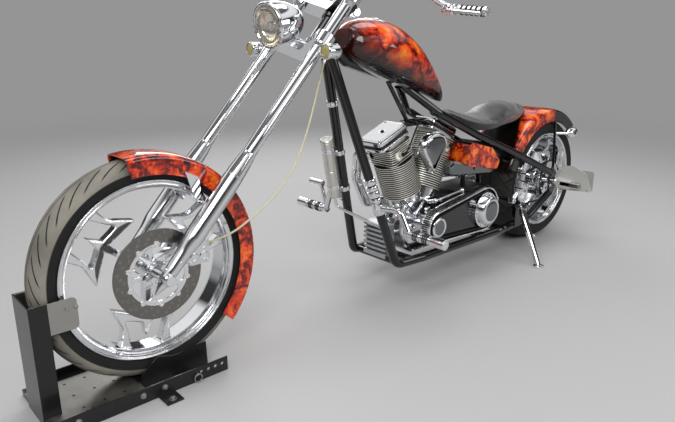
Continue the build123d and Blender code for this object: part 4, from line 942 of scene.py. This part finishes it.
def primary():
    """Open primary: polished tray with a bright rim, toothed belt over it, ribbed clutch and small pulley."""
    ends = [(CRANK_X + 25, CRANK_Z + 14, 71), (634, 298, 103)]
    b = Build()
    layers = [(142, 0, 0), (186.5, 0, 0), (189, 1, 1), (190, 2.8, 1), (190, 6.6, 1), (188.5, 8, 1),
              (171, 8, 2)]
    rings = [[(x, y, z) for x, z in hull_outline(ends, inset)] for y, inset, _ in layers]
    count = len(rings[0])
    b.add(rings[0], [tuple(range(count))])
    for (_, _, slot), low, high in zip(layers[1:], rings, rings[1:]):
        b.add(low + high, band(0, count), slot)
    b.add(rings[-1], [tuple(range(count))], 2)
    b.rod(crank(0, 84, 0), crank(0, 142, 0), 45, 40)
    teeth(b, hull_outline(ends, 0.6, 40), 9.0, 5.0, 152, 180, 1.6, 3)
    for i in range(18):
        x, z = point_along(hull_outline(ends, 4.7), i / 18)
        b.cap_screw((x, 190, z), Y_AXIS, 2.6, 2, 1)
    skins = [POLISHED, CHROME, BLACK_METAL, DARK_METAL]
    b.done("primary_case", skins, FRAME_BODY, ("primary_housing",), "engine_metal", 30)
    c = Build()
    middle = Vector((960, 0, 276))
    rows = [(171, 0), (171, 46), (182, 46), (186, 43.5), (188, 40), (186.5, 35), (186.5, 0)]
    c.lathe(middle, Y_AXIS, rows, 64)
    c.lathe(middle, Y_AXIS, [(186, 33), (188.4, 30), (189.4, 20), (190, 0)], 48, 1)
    middle = Vector((632, 0, 294))
    rows = [(171, 0), (171, 82), (190, 82), (192, 80), (192, 71), (196, 69.4), (214, 65), (218, 62),
            (221, 57), (222.4, 51), (221.4, 47), (221.4, 0)]
    c.lathe(middle, Y_AXIS, rows, 80)
    c.lathe(middle, Y_AXIS, [(221, 48), (223, 44), (224.2, 30), (224.8, 0)], 64, 1)
    for t in turns(36):
        foot = middle + radial(t) * 81.2
        c.rod(foot + Y_AXIS * 173, foot + Y_AXIS * 190, 2.2, 8)
    for t in turns(12):
        c.bolt(middle + Vector((76 * cos(t), 192, 76 * sin(t))), Y_AXIS, 3.4, 3)
    c.done("primary_domes", [CHROME, DARK_CHROME], FRAME_BODY, ("primary_covers",), "chrome", 32)


def side_lengths(outline):
    """Lengths of the sides of a closed outline."""
    return [sqrt((q[0] - p[0]) ** 2 + (q[1] - p[1]) ** 2) for p, q in zip(outline, outline[1:] + outline[:1])]


def point_along(outline, share):
    """Point a share of the way round a closed outline."""
    lengths = side_lengths(outline)
    left = share * sum(lengths)
    for a, b, length in zip(outline, outline[1:] + outline[:1], lengths):
        if left <= length and length > 0:
            k = left / length
            return a[0] + (b[0] - a[0]) * k, a[1] + (b[1] - a[1]) * k
        left -= length
    return outline[0]


def teeth(b, outline, pitch, length, y0, y1, height, slot):
    """Blocks square to a closed outline in the XZ plane, standing out from it by a height."""
    count = int(sum(side_lengths(outline)) / pitch)
    for i in range(count):
        x0, z0 = point_along(outline, i / count)
        x1, z1 = point_along(outline, (i + length / pitch) / count)
        start, end = Vector((x0, 0, z0)), Vector((x1, 0, z1))
        along = (end - start).normalized()
        out = Vector((along.z, 0, -along.x)) * height
        corners = [start, end, end + out, start + out]
        b.loft([[c + Y_AXIS * y for c in corners] for y in (y0, y1)], slot)


primary()


# Tyres


def tyre_piece(name, centre, radius, width, rim_radius, rim_width, material, body):
    """Round tyre with its beads inside the rim."""
    wall = radius - rim_radius
    bead = rim_width / 2 - 9
    outer = [(bead, rim_radius - 12), (bead + 2.5, rim_radius - 2), (bead + 4, rim_radius + 4)]
    steps = 12
    half = width / 2
    low = rim_radius + wall * 0.40
    for i in range(steps + 1):
        t = (pi / 2) * i / steps
        outer.append((half * cos(t) ** 0.9 if i < steps else 0, low + (radius - low) * sin(t)))
    rows = outer + [(-y, r) for y, r in reversed(outer[:-1])]
    inner = [(-bead + 14, rim_radius - 14), (-half * 0.6, rim_radius + wall * 0.5), (0, radius - 16),
             (half * 0.6, rim_radius + wall * 0.5), (bead - 14, rim_radius - 14)]
    b = Build()
    b.hoop(centre, Y_AXIS, rows + inner, 144)
    b.done(name, [material], body, (name.replace("_rubber", "_tyre"),), "tyre", 60)


tyre_piece("front_rubber", FRONT_CENTRE, FRONT_TYRE_R, FRONT_TYRE_WIDTH, FRONT_RIM_R, FRONT_RIM_WIDTH,
           FRONT_TREAD, FRONT_BODY)
tyre_piece("rear_rubber", REAR_CENTRE, REAR_TYRE_R, REAR_TYRE_WIDTH, REAR_RIM_R, REAR_RIM_WIDTH,
           REAR_TREAD, REAR_BODY)


def downtube_place(z, side):
    """Point on a downtube's axis at a height."""
    top = Vector((HEAD_X - 18, 8, HEAD_Z - 30))
    share = (top.z - z) / (top.z - RAIL_Z)
    return Vector((top.x - 274 * share, side * (8 + 119 * share), z))


def cooler_ends():
    ahead = Vector((57, -2, 0))
    return downtube_place(424, -1) + ahead, downtube_place(672, -1) + ahead


def cooler():
    """Round oil cooler can with turned ends, two clamps on the downtube, and bands round both downtubes."""
    bottom, top = cooler_ends()
    axis = top - bottom
    length = axis.length
    b = Build()
    rows = [(0, 0), (0, 22), (2, 24.5), (9, 25), (10, 26), (length * 0.47, 26), (length * 0.475, 24.8),
            (length * 0.49, 24.8), (length * 0.495, 26), (length - 12, 26), (length - 11, 25),
            (length - 9, 25), (length - 8, 26.4), (length - 3, 26.4), (length, 24), (length, 17),
            (length - 1.5, 15), (length - 1.5, 0)]
    b.lathe(bottom, axis, rows, 56)
    tube_axis = downtube_place(700, -1) - downtube_place(400, -1)
    for share in (0.18, 0.82):
        middle = bottom + axis * share
        on_tube = downtube_place(middle.z - 14, -1)
        b.rod(middle, on_tube, 9, 24, 1)
        b.lathe(on_tube, tube_axis, sleeve(-9, 9, 19, 23), 40, 1, True)
        b.lathe(middle, axis, sleeve(-8, 8, 26, 27.6), 48, 1, True)
        b.cap_screw(on_tube - Y_AXIS * 23, -Y_AXIS, 5, 4, 1)
    b.done("cooler_can", [BRUSHED, CHROME], FRAME_BODY, ("oil_cooler_tube",), "chrome", 32)
    c = Build()
    for z, side, tall in ((812, -1, 10), (508, 1, 12), (482, 1, 9), (458, 1, 12), (432, 1, 9), (402, 1, 30)):
        base = downtube_place(z, side)
        way = downtube_place(z + 100, side) - base
        rows = [(-tall, 19), (-tall, 22.4), (-tall + 1.5, 23.4), (tall - 1.5, 23.4), (tall, 22.4), (tall, 19)]
        c.lathe(base, way, rows, 40, 0, True)
    c.done("downtube_clamps", [CHROME], FRAME_BODY)


cooler()


def engine_dress():
    """Bolts, plugs, fittings and pipes on the cases, and the plug leads."""
    b = Build()
    case = [(-118, -84), (-60, -106), (0, -108), (66, -106), (118, -76), (122, 6), (108, 76), (-104, 88),
            (-122, 18)]
    for x, z in case:
        b.cap_screw(crank(x, 84, z), Y_AXIS, 5, 4)
        b.cap_screw(crank(x * 0.97, -78, z * 0.97), -Y_AXIS, 5, 4)
    for x, z in ((-70, -40), (-34, -58), (40, -58), (76, -30), (78, 32), (32, 72), (-32, 72), (-76, 32)):
        b.cap_screw(crank(x, -112, z), -Y_AXIS, 4.5, 4)
    b.lathe(crank(4, -112, 4), -Y_AXIS, [(-1, 46), (3, 46), (5, 43), (5, 36), (3.5, 33), (3.5, 0)], 56)
    for i in range(6):
        z = RAIL_Z + 60 + i * 24
        b.rod((680, 96.2, z), (520, 96.2, z), 1.8, 8)
    for x, z in ((500, 180), (500, 340), (690, 180), (700, 340), (560, 352), (640, 352)):
        for side in SIDES:
            b.cap_screw((x, side * 96, z), Y_AXIS * side, 5, 4)
    b.lathe((590, -96, 262), -Y_AXIS, [(-1, 60), (4, 60), (7, 56), (7, 40), (5, 37), (5, 0)], 56)
    for way in SIDES:
        u, n = cylinder_axes(way * CYLINDER_ANGLE)
        for x in (-20, 20):
            foot = CRANK + n * 112 + u * x - Y_AXIS * 80
            b.lathe(foot, n, [(-2, 0), (-2, 13.4), (5, 13.4), (9, 10.6), (16, 10.6), (16, 8)], 24)
            b.lathe(foot + n * 190, n, sleeve(0, 8, 8, 9.6), 24, 0, True)
            b.lathe(foot + n * 276, n, [(0, 8), (0, 11), (16, 12), (16, 8)], 24, 0, True)
    port = 295
    for x in (-62, 52):
        b.lathe(crank(x, 0, port), X_AXIS, sleeve(0, 10, 20, 23), 36, 0, True)
    b.prism(rounded_rect(-34, 34, -30, 34, 10), crank(0, -60, port), X_AXIS, Z_AXIS, 62, 1, 3)
    b.rod(crank(-10, -70, port + 30), crank(-10, -70, port + 66), 11, 24, 0, 2)
    b.rod(crank(22, -84, port + 26), crank(22, -84, port + 50), 7, 20, 2, 1)
    for t in turns(6):
        b.cap_screw(crank(60 * cos(t), -196, port + 60 * sin(t)), -Y_AXIS, 4, 2.5)
    b.lathe(crank(0, -196, port), -Y_AXIS, [(-0.5, 48), (1.5, 46), (1.5, 40), (0.4, 38), (0.4, 0)], 56)
    bottom, _ = cooler_ends()
    fit = crank(126, 54, -10)
    b.tube([bottom, bottom - Vector((4, 0, 46)), fit + Vector((60, -6, 8)), fit], 6.5, 14, 0, 40)
    b.lathe(fit - X_AXIS * 3, X_AXIS, [(0, 0), (0, 13), (12, 13), (12, 9), (20, 9), (20, 0)], 6)
    b.tube([crank(118, 66, 96), crank(160, 92, 70), crank(166, 100, -6), crank(112, 92, -66)], 8, 16, 0, 34)
    union = [(0, 0), (0, 16), (18, 16), (22, 12), (34, 12), (34, 0)]
    b.lathe(crank(100, 60, 98), (0.5, 0.3, 0.4), union, 6)
    for x, z, r in ((-74, 30, 22), (-20, 60, 17), (52, 52, 20), (84, 8, 15)):
        boss = [(-1, r), (5, r), (9, r - 4), (9, r * 0.55), (7, r * 0.45), (7, 0)]
        b.lathe(crank(x, 84, z), Y_AXIS, boss, 36)
    b.tube([crank(88, 84, 58), crank(92, 108, 66), crank(60, 112, 100), crank(20, 92, 112)], 6, 14, 0, 22)
    cap = [(-6, 0), (-6, 30), (10, 30), (14, 27), (14, 20), (12, 18), (12, 0)]
    b.lathe(crank(132, 20, 46), (1, 0, 0.1), cap, 40)
    b.lathe(crank(132, -34, 30), X_AXIS, [(-6, 0), (-6, 19), (16, 19), (20, 15), (20, 0)], 32)
    elbow, end = crank(-30, 118, 108), crank(-200, 128, 128)
    b.rod(crank(-30, 84, 96), elbow, 9, 24, 0, 2)
    b.rod(elbow, end, 6, 20)
    b.ball(end, 12)
    b.ball(elbow, 11)
    b.done("engine_fittings", [CHROME, CAST, BRASS], FRAME_BODY)
    c = Build()
    for way in SIDES:
        plug = plug_place(way * CYLINDER_ANGLE, way) + PLUG_AXIS * 30
        c.lathe(plug, PLUG_AXIS, [(0, 0), (0, 7.5), (16, 6.5), (20, 5), (20, 0)], 20)
        coil = crank(24 * way, 16, 440)
        lead = [plug + Vector((0, 17, 7)), plug + Vector((0, 32, 30)), coil + Vector((way * 14, 46, 8)), coil]
        c.tube(lead, 3.5, 12, 0, 26)
    c.done("plug_leads", [RUBBER], FRAME_BODY)


engine_dress()


def pegs():
    """Passenger pegs folded up, with rubber rings, and the rings and caps of the rider's pegs."""
    b = Build()
    rows = [(0, 0), (0, 15), (3, 17), (16, 17), (17, 19.5), (26, 19.5), (27, 16.5), (33, 16.5), (34, 20),
            (62, 20), (63, 16.5), (69, 16.5), (70, 20), (98, 20), (99, 16.5), (105, 16.5), (106, 20),
            (122, 20), (126, 17), (127.5, 0)]
    for y, side in ((192, 1), (-160, -1)):
        base, end = Vector((377, y, 325)), Vector((352, y, 450))
        b.lathe(base, end - base, rows, 40)
        for at in (27, 63, 99):
            b.lathe(base, end - base, sleeve(at + 0.6, at + 5.6, 16, 19.2), 36, 1, True)
        b.rod((421, y, 300), (372, y, 340), 11, 24, 0, 2)
        b.rod((421, y - 13, 300), (421, y + 13, 300), 14, 28, 0, 2)
        b.bolt((421, y + side * 13, 300), (0, side, 0), 6, 5)
    b.done("folded_pegs", [CHROME, RUBBER], FRAME_BODY, ("passenger_pegs",), "chrome", 35)
    c = Build()
    for side in SIDES:
        x = downtube_place(398, side).x - 16
        for at in (46, 55, 64, 94, 103, 112):
            c.lathe((x, side * 230, 322), (0, side, 0), sleeve(at - 2.4, at + 2.4, 18.6, 20.2), 36, 0, True)
        c.lathe((x, side * 420, 322), (0, side, 0), [(-1, 16), (1, 16), (1.6, 12), (1.6, 0)], 36, 1)
        c.cap_screw(downtube_place(398, side) + Vector((20, side * 8, 0)), X_AXIS, 5, 4, 1)
    c.done("peg_rings", [RUBBER, CHROME], FRAME_BODY)


pegs()


def oil_tray():
    """Bright lower shell under the oil tank."""
    b = Build()
    shell = [(462, 459), (476, 438), (492, 431), (796, 462), (811, 474), (816, 508), (783, 528), (490, 460)]
    b.prism(shell, (0, 118, 0), X_AXIS, Z_AXIS, 236, 0, 8)
    b.bolt((640, 117, 478), Y_AXIS, 6, 5)
    b.done("oil_tank_tray", [DARK_CHROME], FRAME_BODY)


oil_tray()


def stand():
    """Flat tapered leg as thin along the pin as the bar it replaces, with a kick tab and a round foot."""
    pivot, foot = Vector((325, 188, 250)), Vector((392, 346, 0))
    pin = Vector((0.03, 0.8415, 0.5396)).normalized()
    b = Build()
    way = (foot - pivot).normalized()
    across = pin.cross(way)
    length = (foot - pivot).length
    edge = [(12, 14), (30, 18), (90, 17), (140, 13), (length - 30, 10.5), (length - 5, 10)]
    outline = edge + [(along, -width) for along, width in reversed(edge)]
    b.prism(outline, pivot - pin * 10.5, way, across, 21, 0, 4)
    eye = [(-12.5, 8.5), (-12.5, 15.5), (-11, 17), (11, 17), (12.5, 15.5), (12.5, 8.5)]
    b.hoop(pivot, pin, eye, 40)
    b.lathe((foot.x, foot.y, 0), Z_AXIS, [(0, 0), (0, 22), (1.5, 24), (6, 24), (8, 21), (8, 0)], 36)
    b.lathe(pivot + way * 150, across, [(8, 7), (24, 7), (26, 9), (34, 9), (36, 7), (36, 0)], 24)
    b.done("tapered_stand", [POLISHED], STAND_BODY, ("side_stand",), "chrome", 35)


stand()


def tail():
    """Light box and screws on the plate bracket, and axle nut caps with bolts beside them."""
    b = Build()
    b.prism(rounded_rect(216, 312, 350, 366, 5), (-26.5, 0, 0), Y_AXIS, Z_AXIS, 6, 0, 1.5)
    for y, z in ((206, 306), (206, 386), (352, 306), (334, 378)):
        b.cap_screw((-14, y, z), X_AXIS, 4, 3)
    b.prism(rounded_rect(212, 318, 312, 336, 5), (-14, 0, 0), Y_AXIS, Z_AXIS, 26, 1, 3)
    b.prism(rounded_rect(218, 312, 308, 312.6, 0.2), (-12, 0, 0), Y_AXIS, Z_AXIS, 22, 2)
    for side in SIDES:
        nut = [(-1, 17), (1, 17), (6, 12), (9, 5), (9.5, 0)]
        b.lathe((0, side * 187, REAR_AXLE_Z), (0, side, 0), nut, 32)
        for x, z in ((28, -20), (-20, 24)):
            b.bolt((x, side * 171, REAR_AXLE_Z + z), (0, side, 0), 6, 5)
    b.done("tail_fittings", [CHROME, STEEL, CLEAR_LENS], FRAME_BODY)


tail()


def caliper_dress():
    """Piston caps, screws and the hose union of the front caliper."""
    b = Build()
    x, z = WHEELBASE - 164, FRONT_AXLE_Z + 6
    cap = [(-2, 15), (2, 15), (3.4, 13), (3.4, 9), (2.4, 8), (2.4, 0)]
    for dx, dz in ((20, 24), (20, 62), (54, 24), (54, 62)):
        b.lathe((x + dx, 102, z + dz), Y_AXIS, cap, 32)
    for dx, dz in ((8, 8), (68, 8), (8, 76), (68, 76)):
        b.cap_screw((x + dx, 102, z + dz), Y_AXIS, 4, 4)
    b.rod((x + 2, 86, z + 58), (x - 6, 86, z + 58), 8, 6)
    for y in (70, 114):
        b.cap_screw((x + 34, y, z + 90), Z_AXIS, 4, 4)
    b.done("caliper_fittings", [CHROME], FORK_BODY)


caliper_dress()


def chock_dress():
    """Ring pins, rail bolts and pan screws on the chock."""
    b = Build()
    for side in SIDES:
        pin = Vector((WHEELBASE - 69, side * 145, 30))
        b.rod(pin - Y_AXIS * side * 10, pin + Y_AXIS * side * 9, 4, 16)
        hung = pin + Vector((0, side * 9, -13))
        b.tube([hung + radial(t, 13) for t in turns(24) + [2 * pi]], 2, 8)
        for x in (40, 110, 300):
            b.bolt((WHEELBASE + x, side * 145, 26), (0, side, 0), 7, 6)
        for x in (244, 268):
            b.bolt((WHEELBASE + x, side * 66, 330), (0, side, 0), 5, 4)
        b.bolt((WHEELBASE + 37, side * 184, 4), Z_AXIS, 9, 7)
    for x in (140, 200, 262):
        for y in (-80, 0, 80):
            b.lathe((WHEELBASE + x, y, 24), Z_AXIS, disc(-1, 0.2, 4.5), 14, 1)
    b.done("chock_fittings", [STEEL, BLACK_SATIN], FORK_BODY)


chock_dress()


# Seat
SEAT_VOXEL, SEAT_SHARE, COVER_FRAMES, COVER_MOVE = 0.006, 0.992, 20, 0.006


def blow_up(cushion):
    """Fill the cover out by a short cloth run and hold each point near its start."""
    start = [v.co.copy() for v in cushion.data.vertices]
    cloth = cushion.modifiers.new("cover", "CLOTH")
    cloth.settings.use_pressure = True
    cloth.settings.uniform_pressure_force = 4.0
    cloth.settings.effector_weights.gravity = 0.0
    cloth.settings.tension_stiffness = 20
    cloth.settings.shrink_min = -0.01
    scene = bpy.context.scene
    scene.frame_start, scene.frame_end = 1, COVER_FRAMES
    cloth.point_cache.frame_start, cloth.point_cache.frame_end = 1, COVER_FRAMES
    for f in range(1, COVER_FRAMES + 1):
        scene.frame_set(f)
    apply_modifiers(cushion)
    scene.frame_set(1)
    for v, old in zip(cushion.data.vertices, start):
        move = v.co - old
        if move.length > COVER_MOVE:
            v.co = old + move.normalized() * COVER_MOVE


def seat():
    """Cover over foam: the CAD form, filled out in a full run."""
    source = nodes["seat"]
    mesh = source.data.copy()
    mesh.materials.clear()
    mesh.materials.append(LEATHER)
    cushion = new_object("seat_cushion", mesh)
    cushion.matrix_world = source.matrix_world.copy()
    bpy.context.view_layer.update()
    remesh = cushion.modifiers.new("even", "REMESH")
    remesh.mode = "VOXEL"
    remesh.voxel_size = SEAT_VOXEL
    apply_modifiers(cushion)
    middle = sum((v.co for v in cushion.data.vertices), Vector()) / len(cushion.data.vertices)
    for v in cushion.data.vertices:
        v.co = middle + (v.co - middle) * SEAT_SHARE
    blow_up(cushion)
    subdivision = cushion.modifiers.new("fine", "SUBSURF")
    subdivision.levels = subdivision.render_levels = 1
    apply_modifiers(cushion)
    for polygon in cushion.data.polygons:
        polygon.use_smooth = True
    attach(cushion, FRAME_BODY)
    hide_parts("seat")


def apply_modifiers(obj):
    bpy.context.view_layer.update()
    depsgraph = bpy.context.evaluated_depsgraph_get()
    mesh = bpy.data.meshes.new_from_object(obj.evaluated_get(depsgraph))
    obj.modifiers.clear()
    obj.data = mesh


seat()


# Brake hose
HOSE = [(1524, 88, 968), (1552, 94, 900), (1586, 99, 806), (1626, 102, 710), (1680, 104, 614),
        (1756, 102, 538), (1848, 96, 478), (1944, 86, 430), (2016, 86, 430)]
curve = bpy.data.curves.new("front_brake_hose", "CURVE")
curve.dimensions = "3D"
spline = curve.splines.new("NURBS")
spline.points.add(len(HOSE) - 1)
for point, place in zip(spline.points, HOSE):
    point.co = (*row(place), 1)
spline.order_u = 3
spline.use_endpoint_u = True
curve.bevel_depth = 0.0035
curve.bevel_resolution = 4
curve.use_fill_caps = True
spline.resolution_u = 12
hose = new_object("front_brake_hose", curve)
curve.materials.append(HOSE_SKIN)
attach(hose, FORK_BODY)
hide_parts("brake_hose")


# Floor, light and camera
HORIZON = 0.30
SKY = ((0.0, 0.30), (0.50, HORIZON), (0.53, HORIZON), (0.58, 0.05), (0.70, 0.035), (0.74, 0.85), (0.84, 0.95),
       (0.87, 0.10), (0.94, 0.16), (1.0, 0.60))
FLOOR_HALF, FLOOR_DROP = 60, 0.0005
CAMERA_PLACE, CAMERA_LENS = (2930.5, 1698.3, 1056.6), 32.32
CAMERA_YAW, CAMERA_PITCH, CAMERA_ROLL = -2.3114, 0.2813, 0.0027


def area_light(name, place, target, size, power):
    light = bpy.data.lights.new(name, "AREA")
    light.shape = "RECTANGLE"
    light.size, light.size_y = size
    light.energy = power
    obj = new_object(name, light)
    obj.location = place
    obj.rotation_euler = (Vector(target) - Vector(place)).to_track_quat("-Z", "Y").to_euler()


def floor_paper():
    """Pale paper near the object that fades to the backdrop's tone far away."""
    s = Shade("floor_paper", color=(0.50, 0.50, 0.50), rough=0.6)
    away = s.node("ShaderNodeVectorMath", i0=s.object_coords())
    away.operation = "LENGTH"
    fade = s.node("ShaderNodeMapRange", i0=away.outputs["Value"], i1=2.2, i2=7.5)
    fade.interpolation_type = "SMOOTHSTEP"
    backdrop = s.node("ShaderNodeEmission", Color=(HORIZON, HORIZON, HORIZON, 1), Strength=1.0)
    blend = s.node("ShaderNodeMixShader", Fac=fade.outputs[0], i1=s.bsdf.outputs[0], i2=backdrop.outputs[0])
    s.tree.links.new(blend.outputs[0], s.tree.nodes["Material Output"].inputs[0])
    return s.mat


def studio():
    """Floor, four area lights and a banded backdrop for the metal to mirror."""
    scene = bpy.context.scene
    mesh = bpy.data.meshes.new("studio_floor")
    s = FLOOR_HALF
    mesh.from_pydata([(-s, -s, 0), (s, -s, 0), (s, s, 0), (-s, s, 0)], [], [(0, 1, 2, 3)])
    floor = new_object("studio_floor", mesh)
    mesh.materials.append(floor_paper())
    floor.location.z = -FLOOR_DROP
    area_light("key_light", (3.2, 2.6, 3.6), (0.2, 0, 0.5), (2.6, 2.0), 105)
    area_light("side_light", (-1.6, 3.6, 2.0), (0.0, 0, 0.4), (2.6, 1.0), 42)
    area_light("top_light", (0.0, -0.4, 4.0), (0, 0, 0), (4.0, 1.4), 62)
    area_light("back_light", (-2.0, -3.4, 2.4), (0, 0, 0.6), (3.0, 1.2), 46)
    world = bpy.data.worlds.new("studio_world")
    scene.world = world
    world.use_nodes = True
    tree = world.node_tree
    coords = tree.nodes.new("ShaderNodeTexCoord")
    split = tree.nodes.new("ShaderNodeSeparateXYZ")
    share = tree.nodes.new("ShaderNodeMapRange")
    ramp = tree.nodes.new("ShaderNodeValToRGB")
    share.inputs["From Min"].default_value = -1.0
    tree.links.new(coords.outputs["Generated"], split.inputs[0])
    tree.links.new(split.outputs["Z"], share.inputs[0])
    tree.links.new(share.outputs[0], ramp.inputs[0])
    fill_ramp(ramp, SKY)
    tree.links.new(ramp.outputs[0], tree.nodes["Background"].inputs[0])


def camera():
    """Camera at the photo's viewpoint."""
    yaw, pitch, roll = CAMERA_YAW, CAMERA_PITCH, CAMERA_ROLL
    ahead = Vector((cos(yaw) * cos(pitch), sin(yaw) * cos(pitch), -sin(pitch)))
    right = ahead.cross(Z_AXIS).normalized()
    up = right.cross(ahead)
    right, up = right * cos(roll) + up * sin(roll), up * cos(roll) - right * sin(roll)
    data = bpy.data.cameras.new("photo_camera")
    data.lens = CAMERA_LENS
    data.sensor_width = 36
    data.clip_end = 200
    obj = new_object("photo_camera", data)
    turn = Matrix((right, up, -ahead)).transposed().to_4x4()
    obj.matrix_world = Matrix.Translation(row(CAMERA_PLACE)) @ turn
    scene = bpy.context.scene
    scene.camera = obj
    scene.view_settings.view_transform = "Standard"


studio()
camera()
